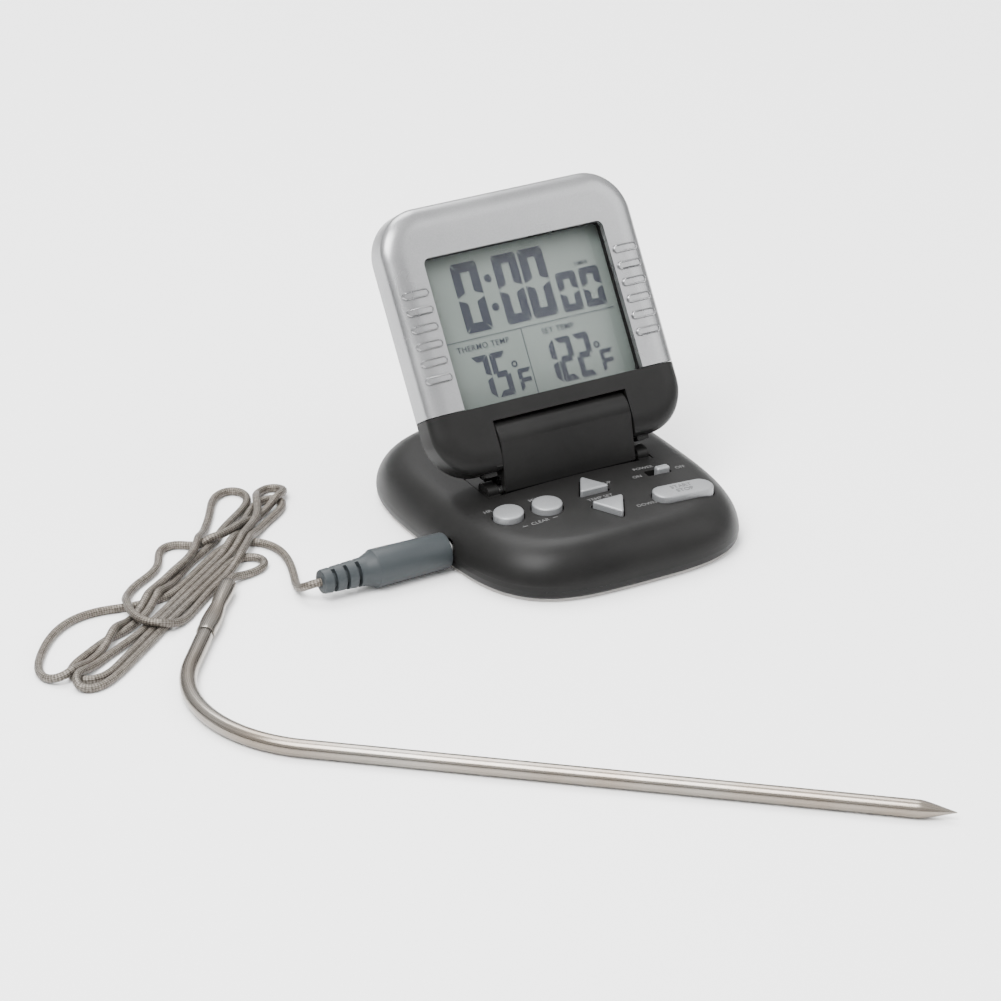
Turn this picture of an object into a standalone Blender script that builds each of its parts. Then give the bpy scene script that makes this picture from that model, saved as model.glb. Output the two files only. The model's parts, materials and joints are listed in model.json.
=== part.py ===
"""Digital probe thermometer: a low base with keys, a display head on a folding link,
and a steel probe on a braided lead.

Frame: origin on the table under the middle of the base, +X to the right as the display
is read, +Y to the back, +Z up. Sizes are in millimetres and turned into metres by mm().
"""
import math

import bmesh
import bpy
from mathutils import Vector

# ---- driving dimensions, mm and degrees -------------------------------------------
GAP = 0.3                 # clearance between neighbouring pieces
SIDES = 24                # sides of a small round piece

BASE_HALF_WIDTH = 35.0
BASE_HALF_DEPTH = 41.0
BASE_ROUNDNESS = 3.5      # exponent of the superellipse outline
BASE_SEGMENTS = 52
PAD_THICKNESS = 0.7
PAD_INSET = 1.0
SHELL_BOTTOM = PAD_THICKNESS + GAP
SHELL_WALL = 1.3
SEAM_HEIGHT = 4.65
CROWN_HEIGHT = 13.5       # top of the base at its middle
CROWN_FALL_X = 0.0014     # fall of the top with x squared, per mm
CROWN_FALL_Y = 0.0008     # fall of the top with y squared, per mm
EDGE_ROUNDING = 7.9       # width of the rounded shoulder
SCREW_BOSS_REAR = (26.0, 28.0)
SCREW_BOSS_FRONT = (20.0, -34.6)
BOSS_RADIUS = 2.5
SCREW_TOP = 8.0           # end of a base screw's bore
SCREW_SHAFT = 0.9         # radius
SCREW_HEAD = 1.9          # radius
SCREW_HEAD_HEIGHT = 0.9

CREASE_Y = -7.5           # front edge of the hinge recess
RECESS_REAR_Y = 4.6
RECESS_HALF_WIDTH = 24.5
RECESS_FLOOR = 8.6

LOWER_PIN_Y = -3.8
LOWER_PIN_Z = 12.4
PIN_RADIUS = 1.0
LINK_LEAN = 12.2          # degrees back from upright
LINK_RISE = 11.4          # lower pin to upper pin, along the link
LINK_SETBACK = 1.2        # lower pin to upper pin, across the link
LINK_HALF_WIDTH = 17.25
LINK_WALL = 1.7
UPPER_BARREL = 4.6        # radius
LOWER_BARREL = 2.6        # radius
LOWER_PIN_TO_FACE = UPPER_BARREL - LINK_SETBACK
EAR_THICKNESS = 2.0
EAR_RADIUS = 2.2
BRACKET_PLATE = 0.6

HEAD_TILT = 32.8          # degrees back from upright
HEAD_WIDTH = 65.6
HEAD_HEIGHT = 62.9
HEAD_CORNER = 11.0
HEAD_EDGE = 2.5           # rounding of the front edge
FRONT_DEPTH = 7.5         # front housing, face to joint line
BACK_DEPTH = 11.0         # face to the back of the head
HEAD_WALL = 1.5
PIN_BEHIND_FACE = 4.1
PIN_ABOVE_BOTTOM = LINK_RISE - 4.3  # keeps the chin's foot clear of the bracket
CHIN_HEIGHT = 15.1
NOTCH_HALF_WIDTH = LINK_HALF_WIDTH + 0.35
NOTCH_HEIGHT = 11.0
WINDOW_WIDTH = 47.4
WINDOW_TOP = 50.8         # above the head's bottom edge
WINDOW_CORNER = 1.6
RIB_COUNT = 6
RIB_FIRST = 23.3          # lowest grip rib above the head's bottom edge
RIB_PITCH = 4.0
RIB_INSET = 2.6           # from the head's side
LENS_DEPTH = 3.4          # face to the lens
LENS_THICKNESS = 0.9
LCD_THICKNESS = 1.6
BOARD_THICKNESS = 1.0

KEY_PROUD = 1.4           # key top above the cover around it
KEY_TRAVEL = 0.8
KEY_CLEARANCE = 0.35
KEY_FLANGE = 0.6
ROUND_KEY_RADIUS = 3.5
ROUND_KEY_RIGHT_X = -13.0
ROUND_KEY_BRIDGE = 2.4    # left between the two round keys
ROUND_KEYS = {
    "key_round_left": (ROUND_KEY_RIGHT_X - 2 * ROUND_KEY_RADIUS - ROUND_KEY_BRIDGE, -17.0),
    "key_round_right": (ROUND_KEY_RIGHT_X, -18.2),
}
ARROW_KEY_ROUNDING = 0.7
UP_KEY = {"center": (0.0, -14.3), "width": 6.9, "height": 5.7}
DOWN_KEY = {"center": (0.0, -26.5), "width": 7.5, "height": -6.5}
START_KEY = {"center": (18.3, -26.1), "half_run": 4.8, "radius": 2.9}

SWITCH_Y = -14.4
SWITCH_SLOT = (15.6, 22.0)
SWITCH_SLOT_WIDTH = 2.5
KNOB_LENGTH = 3.4
KNOB_WIDTH = 1.9
KNOB_PROUD = 1.2

BOARD_BOTTOM = 4.9
MAT_BOTTOM = 6.2
MAT_THICKNESS = 0.6
MAT_DOME_TOP = 7.2

CELL_RADIUS = 10.0
CELL_THICKNESS = 3.2
CELL_CENTER = (0.0, 22.0)
DOOR_RADIUS = 12.4
DOOR_LUG = 1.1            # reach of a bayonet lug beyond the door's edge
DOOR_LUG_HALF = 16.0      # degrees
DOOR_TURN = 50.0          # degrees from locked to free

JACK_Y = -10.8
JACK_Z = 4.65
JACK_INSET = 2.6          # outside of the base to the face of the socket
JACK_LENGTH = 11.5
JACK_HALF = 2.9
JACK_TOP = 2.65           # top of the socket above its bore's axis
JACK_PIN_RADIUS = 1.25
JACK_PIN_LENGTH = 11.8
PLUG_COLLAR = 2.25        # radius
PLUG_STAND_OFF = 0.8      # side of the base to the moulded grip
PLUG_FACE_X = -BASE_HALF_WIDTH - PLUG_STAND_OFF
GRIP_LENGTH = 18.1
GRIP_RADIUS_NEAR = 4.2
GRIP_RADIUS_FAR = 4.5
SHOULDER_LENGTH = 2.6
RELIEF_LENGTH = 10.6
RELIEF_RADIUS_NEAR = 3.3
RELIEF_RADIUS_FAR = 2.8
RELIEF_CORE = 1.9
RELIEF_SLOTS = 3
RELIEF_SLOT_PITCH = 3.0
RELIEF_SLOT_WIDTH = 0.9

CORD_RADIUS = 0.95
PROBE_RADIUS = 1.95
PROBE_BEND = 32.5         # radius of the bend
PROBE_STRAIGHT = 13.1     # crimped sleeve to the start of the bend
PROBE_TIP = 8.0
SLEEVE_LENGTH = 24.0
PLUG_END_X = PLUG_FACE_X - GRIP_LENGTH - SHOULDER_LENGTH - RELIEF_LENGTH
LEAD_ROUTE = [(PLUG_END_X - GAP, JACK_Y, JACK_Z), (PLUG_END_X - 1.3, -10.75, 4.6),
              (-69.6, -10.0, 4.4), (-70.0, -8.4, 4.2), (-69.3, -5.0, 3.7), (-67.8, 0.0, 3.0),
              (-66.2, 5.0, 2.4), (-65.3, 10.8, 1.8), (-65.5, 16.3, 1.3), (-66.8, 20.6, 1.0)]
HANK_OUTLINE = [(-48.5, 47.5), (-60.5, 50.0), (-72.0, 39.0), (-86.0, 31.5), (-93.0, 23.0),
                (-106.5, 14.5), (-122.0, 9.5), (-134.5, 0.0), (-138.5, -14.0), (-133.5, -22.5),
                (-118.0, -20.5), (-99.5, -5.0), (-85.0, 7.4), (-68.5, 11.6), (-67.5, 15.0),
                (-70.5, 19.2), (-60.0, 30.0), (-51.0, 36.5)]
HANK_LOW = 0.3
HANK_HIGH = 5.6
PROBE_END = Vector((-83.4, 2.9, 2.1))         # end face of the crimped sleeve
SLEEVE_SLOPE = Vector((-0.624, -0.7815, 0.0))  # from that face towards the bend
STEM_SLOPE = Vector((0.7559, -0.6547, 0.0))     # from the bend towards the point
STEM_LENGTH = 135.9


def mm(*values):
    """Turn millimetres into metres: one value to a number, more to a Vector."""
    if len(values) == 1:
        return values[0] * 0.001
    return Vector(values) * 0.001


# ---- scene, materials, small mesh helpers -----------------------------------------
for old in list(bpy.data.objects):
    bpy.data.objects.remove(old, do_unlink=True)


def make_material(name, color, roughness, metallic=0.0):
    material = bpy.data.materials.new(name)
    material.use_nodes = True
    shader = material.node_tree.nodes["Principled BSDF"]
    shader.inputs["Base Color"].default_value = (*color, 1.0)
    shader.inputs["Roughness"].default_value = roughness
    shader.inputs["Metallic"].default_value = metallic
    return material


BLACK = make_material("black_abs", (0.020, 0.020, 0.021), 0.45)
DARK = make_material("dark_moulding", (0.010, 0.010, 0.011), 0.6)
SILVER = make_material("silver_paint", (0.56, 0.57, 0.58), 0.32, 0.7)
KEY_GREY = make_material("key_grey", (0.36, 0.37, 0.38), 0.35, 0.3)
PLUG_GREY = make_material("plug_grey", (0.12, 0.135, 0.145), 0.55)
PAD_GREY = make_material("pad_grey", (0.45, 0.44, 0.43), 0.8)
STEEL = make_material("stainless_steel", (0.55, 0.53, 0.50), 0.25, 1.0)
BRAID = make_material("steel_braid", (0.30, 0.28, 0.25), 0.45, 0.8)
BRASS = make_material("plated_contact", (0.75, 0.65, 0.40), 0.3, 1.0)
BOARD_GREEN = make_material("board_green", (0.03, 0.13, 0.06), 0.5)
LENS_CLEAR = make_material("clear_lens", (0.80, 0.84, 0.84), 0.05)
LCD_GREY = make_material("lcd_grey", (0.36, 0.40, 0.36), 0.3)
RUBBER = make_material("key_rubber", (0.55, 0.56, 0.55), 0.8)


def add_object(name, mesh_builder, material, parent=None, location=(0, 0, 0), rotation=(0, 0, 0)):
    """Make an object from a filled bmesh, placed in millimetres under its parent."""
    mesh = bpy.data.meshes.new(name)
    bmesh.ops.recalc_face_normals(mesh_builder, faces=mesh_builder.faces)
    mesh_builder.to_mesh(mesh)
    mesh_builder.free()
    item = bpy.data.objects.new(name, mesh)
    bpy.context.scene.collection.objects.link(item)
    mesh.materials.append(material)
    mesh.shade_smooth()
    mesh.set_sharp_from_angle(angle=math.radians(35))
    item.parent = parent
    item.location = mm(*location)
    item.rotation_euler = rotation
    return item


def add_empty(name, location, rotation=(0, 0, 0), parent=None):
    empty = bpy.data.objects.new(name, None)
    bpy.context.scene.collection.objects.link(empty)
    empty.parent = parent
    empty.location = mm(*location)
    empty.rotation_euler = rotation
    return empty


def loft(builder, rings):
    """Join rings of points, given in mm and equal in number, into one closed body."""
    loops = [[builder.verts.new(mm(*point)) for point in ring] for ring in rings]
    for lower, upper in zip(loops, loops[1:]):
        for i in range(len(lower)):
            j = (i + 1) % len(lower)
            builder.faces.new((lower[i], lower[j], upper[j], upper[i]))
    builder.faces.new(loops[0])
    builder.faces.new(loops[-1])


def rounded(core, radius, segments=SIDES):
    """Outline of a convex core polygon (1 point or more, anticlockwise) grown by a radius."""
    points = []
    count = len(core)
    for i, (x, y) in enumerate(core):
        if count == 1:
            start, sweep, steps = 0.0, 2 * math.pi, segments
        else:
            before = core[i - 1]
            after = core[(i + 1) % count]
            start = math.atan2(y - before[1], x - before[0]) - math.pi / 2
            end = math.atan2(after[1] - y, after[0] - x) - math.pi / 2
            sweep = (end - start) % (2 * math.pi)
            steps = max(2, round(segments * sweep / (2 * math.pi)))
        for step in range(steps if count == 1 else steps + 1):
            angle = start + sweep * step / steps
            points.append((x + radius * math.cos(angle), y + radius * math.sin(angle)))
    return points


def rectangle(half_x, half_y, radius, center=(0.0, 0.0), segments=SIDES):
    """Rounded rectangle with the given outer half sizes."""
    core_x = half_x - radius
    core_y = half_y - radius
    core = [(center[0] + sx * core_x, center[1] + sy * core_y)
            for sx, sy in ((-1, -1), (1, -1), (1, 1), (-1, 1))]
    return rounded(core, radius, segments)


def prism(builder, outline, low, high, axis="Z"):
    """Extrude an outline along an axis; for X the outline is (y, z), for Y it is (x, z)."""
    def place(point, along):
        if axis == "X":
            return (along, point[0], point[1])
        if axis == "Y":
            return (point[0], along, point[1])
        return (point[0], point[1], along)
    loft(builder, [[place(p, low) for p in outline], [place(p, high) for p in outline]])


def block(builder, low, high):
    """Plain box between two corners."""
    outline = [(low[0], low[1]), (high[0], low[1]), (high[0], high[1]), (low[0], high[1])]
    prism(builder, outline, low[2], high[2])


def turned(builder, profile, axis="Z", center=(0.0, 0.0, 0.0), sides=SIDES):
    """Solid turned from (radius, along) pairs."""
    rings = []
    for radius, along in profile:
        ring = []
        for i in range(sides):
            angle = 2 * math.pi * i / sides
            a, b = radius * math.cos(angle), radius * math.sin(angle)
            if axis == "X":
                ring.append((center[0] + along, center[1] + a, center[2] + b))
            elif axis == "Y":
                ring.append((center[0] + a, center[1] + along, center[2] + b))
            else:
                ring.append((center[0] + a, center[1] + b, center[2] + along))
        rings.append(ring)
    loft(builder, rings)


def boolean(target, operation, *tools):
    """Add a boolean modifier for each tool, and hide the tool."""
    for tool in tools:
        tool.hide_render = True
        tool.display_type = "WIRE"
        modifier = target.modifiers.new(tool.name, "BOOLEAN")
        modifier.operation = operation
        modifier.solver = "EXACT"
        modifier.object = tool


# ---- base outline -----------------------------------------------------------------
def base_outline(inset, segments=BASE_SEGMENTS):
    """Superellipse outline of the base, moved in by an inset."""
    half_x = BASE_HALF_WIDTH - inset
    half_y = BASE_HALF_DEPTH - inset
    power = 2.0 / BASE_ROUNDNESS
    points = []
    for i in range(segments):
        angle = 2 * math.pi * i / segments
        c, s = math.cos(angle), math.sin(angle)
        points.append((half_x * math.copysign(abs(c) ** power, c),
                       half_y * math.copysign(abs(s) ** power, s)))
    return points


def crown(x, y, drop=0.0):
    """Height of the domed top of the base."""
    return CROWN_HEIGHT - CROWN_FALL_X * x * x - CROWN_FALL_Y * y * y - drop


def shoulder_rings(inset, start_height, drop, steps=5):
    """Rings up the rounded shoulder and over the dome; inset and drop give the wall."""
    rounding = EDGE_ROUNDING - 0.6 * inset
    rings = []
    for step in range(steps + 1):
        turn = math.pi / 2 * step / steps
        outline = base_outline(inset + rounding * (1 - math.cos(turn)))
        rings.append([(x, y, start_height + (crown(x, y, drop) - start_height) * math.sin(turn))
                      for x, y in outline])
    return rings + [[(x, y, crown(x, y, drop)) for x, y in base_outline(step_in)]
                    for step_in in (13.0, 21.0, 29.0)]


def cover_height(x, y):
    """Height of the cover's outside over a point, on the dome or on the rounded shoulder."""
    near, far = 0.0, min(BASE_HALF_WIDTH, BASE_HALF_DEPTH) - GAP
    for _ in range(30):
        inset = (near + far) / 2
        reach = (abs(x / (BASE_HALF_WIDTH - inset)) ** BASE_ROUNDNESS
                 + abs(y / (BASE_HALF_DEPTH - inset)) ** BASE_ROUNDNESS)
        near, far = (near, inset) if reach > 1.0 else (inset, far)
    if near >= EDGE_ROUNDING:
        return crown(x, y)
    seam = SEAM_HEIGHT + GAP
    return seam + (crown(x, y) - seam) * math.sqrt(1 - (1 - near / EDGE_ROUNDING) ** 2)


def boss_top(x, y):
    """A boss ends in the middle of the cover's wall, at the lowest place over its rim."""
    rim = [cover_height(x + BOSS_RADIUS * math.cos(turn), y + BOSS_RADIUS * math.sin(turn))
           for turn in (math.pi / 8 * i for i in range(16))]
    return max(min(rim) - SHELL_WALL / 2, SCREW_TOP + GAP)


SCREW_PLACES = {
    "rear_left": (-SCREW_BOSS_REAR[0], SCREW_BOSS_REAR[1]),
    "rear_right": SCREW_BOSS_REAR,
    "front_left": (-SCREW_BOSS_FRONT[0], SCREW_BOSS_FRONT[1]),
    "front_right": SCREW_BOSS_FRONT,
}
base_frame = add_empty("base_frame", (0, 0, 0))


def make_base_pad():
    builder = bmesh.new()
    flat = base_outline(PAD_INSET)
    prism(builder, flat, 0.0, PAD_THICKNESS)
    pad = add_object("base_pad", builder, PAD_GREY, base_frame)
    tool = bmesh.new()
    turned(tool, [(DOOR_RADIUS + 2 * GAP, -1.0), (DOOR_RADIUS + 2 * GAP, 2.0)],
           center=(*CELL_CENTER, 0.0), sides=32)
    for x, y in SCREW_PLACES.values():
        turned(tool, [(SCREW_HEAD + GAP, -1.0), (SCREW_HEAD + GAP, 2.0)], center=(x, y, 0.0))
    boolean(pad, "DIFFERENCE", add_object("pad_holes", tool, DARK, base_frame))


def jack_hole(builder):
    radius = PLUG_COLLAR + GAP
    low, high = -BASE_HALF_WIDTH - 2.0, -BASE_HALF_WIDTH + JACK_INSET - GAP
    turned(builder, [(radius, low), (radius, high)], axis="X", center=(0.0, JACK_Y, JACK_Z))


def door_outline(grow, turn, lug_half, sides=72):
    """Circle of the battery door with two lugs, at a turn in degrees from locked."""
    points = []
    for i in range(sides):
        angle = 360.0 * (i + 0.5) / sides
        from_lug = abs((angle - turn + 90.0) % 180.0 - 90.0)
        radius = DOOR_RADIUS + grow + (DOOR_LUG if from_lug < lug_half else 0.0)
        points.append((radius * math.cos(math.radians(angle)), radius * math.sin(math.radians(angle))))
    return points


def make_bottom_shell():
    seam = SEAM_HEIGHT - GAP / 2
    floor = SHELL_BOTTOM + SHELL_WALL
    rings = []
    for inset, height in ((0.9, SHELL_BOTTOM), (0.35, SHELL_BOTTOM + 0.35), (0.0, seam - 0.2),
                          (0.1, seam), (SHELL_WALL, seam), (SHELL_WALL + 0.3, floor)):
        rings.append([(x, y, height) for x, y in base_outline(inset)])
    builder = bmesh.new()
    loft(builder, rings)
    shell = add_object("base_bottom_shell", builder, BLACK, base_frame)
    tool = bmesh.new()
    opening = door_outline(GAP, DOOR_TURN, DOOR_LUG_HALF + 4.0)
    prism(tool, [(x + CELL_CENTER[0], y + CELL_CENTER[1]) for x, y in opening], -1.0, floor + 1.0)
    for x, y in SCREW_PLACES.values():
        shaft = SCREW_SHAFT + GAP
        head = SCREW_HEAD + GAP
        step = SHELL_BOTTOM + 0.8
        turned(tool, [(head, 0.0), (head, step), (shaft, step), (shaft, floor + 1.0)],
               center=(x, y, 0.0), sides=16)
    jack_hole(tool)
    boolean(shell, "DIFFERENCE", add_object("bottom_shell_holes", tool, DARK, base_frame))


# ---- keys -------------------------------------------------------------------------
def arrow_core(key):
    """Corner points of an arrow key inside its rounding; a negative height points it down."""
    width = key["width"] / 2 - ARROW_KEY_ROUNDING
    sign = math.copysign(1.0, key["height"])
    height = abs(key["height"]) - 2 * ARROW_KEY_ROUNDING
    cx, cy = key["center"]
    foot = cy - sign * height / 2
    peak = cy + sign * height / 2
    if sign > 0:
        return [(cx - width, foot), (cx + width, foot), (cx, peak)]
    return [(cx, peak), (cx + width, foot), (cx - width, foot)]


def key_cores():
    """Name of each key with its core polygon and the radius that rounds it."""
    cores = {name: ([place], ROUND_KEY_RADIUS) for name, place in ROUND_KEYS.items()}
    cores["key_up"] = (arrow_core(UP_KEY), ARROW_KEY_ROUNDING)
    cores["key_down"] = (arrow_core(DOWN_KEY), ARROW_KEY_ROUNDING)
    cx, cy = START_KEY["center"]
    run = START_KEY["half_run"]
    cores["key_start_stop"] = ([(cx - run, cy), (cx + run, cy)], START_KEY["radius"])
    return cores


KEY_BOTTOM = MAT_DOME_TOP + KEY_TRAVEL + 0.4
KEY_FLANGE_LOW = KEY_BOTTOM + 0.3
KEY_FLANGE_HIGH = KEY_FLANGE_LOW + 0.5


def make_key(name, core, radius):
    cx = sum(x for x, _ in core) / len(core)
    cy = sum(y for _, y in core) / len(core)
    local = [(x - cx, y - cy) for x, y in core]
    segments = 28
    levels = [(-0.8 * min(radius, 1.0), KEY_BOTTOM), (-0.8 * min(radius, 1.0), KEY_FLANGE_LOW),
              (KEY_FLANGE, KEY_FLANGE_LOW), (KEY_FLANGE, KEY_FLANGE_HIGH),
              (0.0, KEY_FLANGE_HIGH), (0.0, None), (-0.5, "top")]
    rings = []
    for grow, height in levels:
        ring = []
        for x, y in rounded(local, radius + grow, segments):
            top = crown(x + cx, y + cy) + KEY_PROUD
            z = top if height == "top" else top - 0.45 if height is None else height
            ring.append((x, y, z))
        rings.append(ring)
    builder = bmesh.new()
    loft(builder, rings)
    add_object(name, builder, KEY_GREY, base_frame, location=(cx, cy, 0.0))


def make_top_cover():
    seam = SEAM_HEIGHT + GAP / 2
    outer = [[(x, y, seam) for x, y in base_outline(0.1)],
             *shoulder_rings(0.0, seam + 0.25, 0.0)]
    inner = [[(x, y, seam) for x, y in base_outline(SHELL_WALL)],
             *shoulder_rings(SHELL_WALL, seam + 0.1, SHELL_WALL, steps=4)]
    builder = bmesh.new()
    loft(builder, outer[::-1] + inner)
    cover = add_object("base_top_cover", builder, BLACK, base_frame)

    pocket = bmesh.new()
    block(pocket, (-RECESS_HALF_WIDTH - 1.2, CREASE_Y - 1.2, RECESS_FLOOR - 1.0),
          (RECESS_HALF_WIDTH + 1.2, RECESS_REAR_Y + 1.2, CROWN_HEIGHT - 1.1))
    for x, y in SCREW_PLACES.values():
        low = SHELL_BOTTOM + SHELL_WALL + GAP
        turned(pocket, [(BOSS_RADIUS, low), (BOSS_RADIUS, boss_top(x, y))], center=(x, y, 0.0), sides=16)
    boolean(cover, "UNION", add_object("cover_bosses", pocket, BLACK, base_frame))

    tool = bmesh.new()
    block(tool, (-RECESS_HALF_WIDTH, CREASE_Y, RECESS_FLOOR),
          (RECESS_HALF_WIDTH, RECESS_REAR_Y, CROWN_HEIGHT + 5.0))
    for core, radius in key_cores().values():
        prism(tool, rounded(core, radius + KEY_CLEARANCE, 28), KEY_BOTTOM, CROWN_HEIGHT + 4.0)
    prism(tool, rectangle((SWITCH_SLOT[1] - SWITCH_SLOT[0]) / 2, SWITCH_SLOT_WIDTH / 2, 0.4,
                          (sum(SWITCH_SLOT) / 2, SWITCH_Y), 12), KEY_BOTTOM, CROWN_HEIGHT + 4.0)
    for x, y in SCREW_PLACES.values():
        radius = SCREW_SHAFT + GAP
        turned(tool, [(radius, 0.0), (radius, SCREW_TOP)], center=(x, y, 0.0), sides=16)
    jack_hole(tool)
    boolean(cover, "DIFFERENCE", add_object("cover_cuts", tool, DARK, base_frame))


# ---- inside the base ----------------------------------------------------------------
BOARD_BOX = (-26.0, -31.0, 27.0, -9.8)
SWITCH_BODY = (14.6, SWITCH_Y - 2.2, 23.0, SWITCH_Y + 2.2)


def make_base_boards():
    builder = bmesh.new()
    block(builder, (BOARD_BOX[0], BOARD_BOX[1], BOARD_BOTTOM),
          (BOARD_BOX[2], BOARD_BOX[3], BOARD_BOTTOM + BOARD_THICKNESS))
    board = add_object("main_board", builder, BOARD_GREEN, base_frame)
    jack_end = -BASE_HALF_WIDTH + JACK_INSET + JACK_LENGTH
    tool = bmesh.new()
    block(tool, (BOARD_BOX[0] - 1.0, JACK_Y - JACK_HALF - 0.5, 0.0),
          (jack_end + 0.5, BOARD_BOX[3] + 1.0, 12.0))
    boolean(board, "DIFFERENCE", add_object("board_notch", tool, DARK, base_frame))

    builder = bmesh.new()
    block(builder, (BOARD_BOX[0], BOARD_BOX[1] + 0.5, MAT_BOTTOM),
          (BOARD_BOX[2], BOARD_BOX[3], MAT_BOTTOM + MAT_THICKNESS))
    mat = add_object("key_mat", builder, RUBBER, base_frame)
    domes = bmesh.new()
    for core, _ in key_cores().values():
        cx = sum(x for x, _ in core) / len(core)
        cy = sum(y for _, y in core) / len(core)
        turned(domes, [(1.9, MAT_BOTTOM + 0.2), (1.9, MAT_BOTTOM + MAT_THICKNESS), (1.2, MAT_DOME_TOP)],
               center=(cx, cy, 0.0), sides=12)
    boolean(mat, "UNION", add_object("mat_domes", domes, RUBBER, base_frame))
    tool = bmesh.new()
    block(tool, (BOARD_BOX[0] - 1.0, JACK_Y - JACK_HALF - 0.5, 0.0),
          (jack_end + 0.5, BOARD_BOX[3] + 1.0, 12.0))
    block(tool, (SWITCH_BODY[0] - GAP, SWITCH_BODY[1] - GAP, 0.0),
          (SWITCH_BODY[2] + GAP, SWITCH_BODY[3] + GAP, 12.0))
    boolean(mat, "DIFFERENCE", add_object("mat_notches", tool, DARK, base_frame))


def make_switch():
    low = BOARD_BOTTOM + BOARD_THICKNESS + GAP
    builder = bmesh.new()
    block(builder, (SWITCH_BODY[0], SWITCH_BODY[1], low), (SWITCH_BODY[2], SWITCH_BODY[3], KEY_BOTTOM))
    add_object("switch_body", builder, DARK, base_frame)
    center = SWITCH_SLOT[1] - KNOB_LENGTH / 2 - 0.4
    stem = KEY_BOTTOM + GAP
    top = crown(center, SWITCH_Y) + KNOB_PROUD
    rings = []
    for half_x, half_y, height in ((1.2, 0.6, stem), (1.2, 0.6, stem + 1.2),
                                   (KNOB_LENGTH / 2, KNOB_WIDTH / 2, stem + 1.2),
                                   (KNOB_LENGTH / 2, KNOB_WIDTH / 2, top - 0.4),
                                   (KNOB_LENGTH / 2 - 0.4, KNOB_WIDTH / 2 - 0.4, top)):
        rings.append([(x, y, height) for x, y in rectangle(half_x, half_y, 0.35, segments=12)])
    builder = bmesh.new()
    loft(builder, rings)
    add_object("switch_knob", builder, KEY_GREY, base_frame, location=(center, SWITCH_Y, 0.0))


def make_jack():
    face = -BASE_HALF_WIDTH + JACK_INSET
    builder = bmesh.new()
    block(builder, (face, JACK_Y - JACK_HALF, SHELL_BOTTOM + SHELL_WALL + GAP),
          (face + JACK_LENGTH, JACK_Y + JACK_HALF, JACK_Z + JACK_TOP))
    socket = add_object("jack_socket", builder, DARK, base_frame)
    tool = bmesh.new()
    bore = JACK_PIN_RADIUS + GAP
    turned(tool, [(bore, face - 2.0), (bore, face + JACK_LENGTH - 1.0)], axis="X",
           center=(0.0, JACK_Y, JACK_Z))
    boolean(socket, "DIFFERENCE", add_object("jack_bore", tool, DARK, base_frame))


def make_battery_parts():
    door_top = SHELL_BOTTOM + 1.0
    builder = bmesh.new()
    turned(builder, [(DOOR_RADIUS - 0.3, 0.1), (DOOR_RADIUS, 0.4), (DOOR_RADIUS, door_top)], sides=36)
    door = add_object("battery_door", builder, BLACK, base_frame, location=(*CELL_CENTER, 0.0))
    floor = SHELL_BOTTOM + SHELL_WALL
    lugs = bmesh.new()
    flat = door_outline(0.0, 0.0, DOOR_LUG_HALF)
    prism(lugs, flat, floor + GAP, floor + GAP + 0.6)
    collar = bmesh.new()
    turned(collar, [(DOOR_RADIUS - 0.1, door_top - 0.3), (DOOR_RADIUS - 0.1, floor + GAP + 0.3)], sides=36)
    well = bmesh.new()
    turned(well, [(DOOR_RADIUS - 1.2, door_top), (DOOR_RADIUS - 1.2, 9.0)], sides=36)
    place = (*CELL_CENTER, 0.0)
    boolean(door, "UNION", add_object("door_collar", collar, BLACK, base_frame, location=place),
            add_object("door_lugs", lugs, BLACK, base_frame, location=place))
    boolean(door, "DIFFERENCE", add_object("door_well", well, BLACK, base_frame, location=place))
    tool = bmesh.new()
    prism(tool, rounded([(-7.0, 0.0), (7.0, 0.0)], 0.9, 12), -1.0, 0.9)
    boolean(door, "DIFFERENCE",
            add_object("coin_slot", tool, DARK, base_frame, location=(*CELL_CENTER, 0.0)))

    low = door_top + GAP
    builder = bmesh.new()
    turned(builder, [(CELL_RADIUS - 0.4, low), (CELL_RADIUS, low + 0.3),
                     (CELL_RADIUS, low + CELL_THICKNESS - 0.1),
                     (CELL_RADIUS - 0.5, low + CELL_THICKNESS)],
           center=(*CELL_CENTER, 0.0), sides=32)
    add_object("coin_cell", builder, STEEL, base_frame)

    contact = low + CELL_THICKNESS + GAP
    builder = bmesh.new()
    prism(builder, rounded([(-6.0, 0.0), (6.0, 0.0)], 2.0, 12), contact, contact + 0.4)
    add_object("contact_spring", builder, BRASS, base_frame, location=(*CELL_CENTER, 0.0))
    builder = bmesh.new()
    side = CELL_RADIUS + GAP
    block(builder, (side, -2.0, low), (side + 0.3, 2.0, low + CELL_THICKNESS + 1.5))
    add_object("contact_side", builder, BRASS, base_frame, location=(*CELL_CENTER, 0.0))

    builder = bmesh.new()
    floor = SHELL_BOTTOM + SHELL_WALL + GAP
    turned(builder, [(6.5, floor), (6.5, floor + 1.6), (5.2, floor + 2.0)], center=(-21.5, 14.0, 0.0))
    add_object("buzzer", builder, BRASS, base_frame)


def make_base_screws():
    low = SHELL_BOTTOM - 0.2
    for place, (x, y) in SCREW_PLACES.items():
        builder = bmesh.new()
        turned(builder, [(SCREW_HEAD - 0.3, low), (SCREW_HEAD, low + 0.3),
                         (SCREW_HEAD, low + SCREW_HEAD_HEIGHT - 0.2),
                         (SCREW_SHAFT, low + SCREW_HEAD_HEIGHT - 0.2),
                         (SCREW_SHAFT, SCREW_TOP - 1.0), (0.3, SCREW_TOP - 0.3)],
               center=(x, y, 0.0), sides=12)
        add_object("base_screw_" + place, builder, STEEL, base_frame)


# ---- hinge link ---------------------------------------------------------------------
link_frame = add_empty("link_frame", (0.0, LOWER_PIN_Y, LOWER_PIN_Z),
                       (-math.radians(LINK_LEAN), 0.0, 0.0))


def bracket_half_width():
    return LINK_HALF_WIDTH + 1.3 + EAR_THICKNESS


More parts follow.
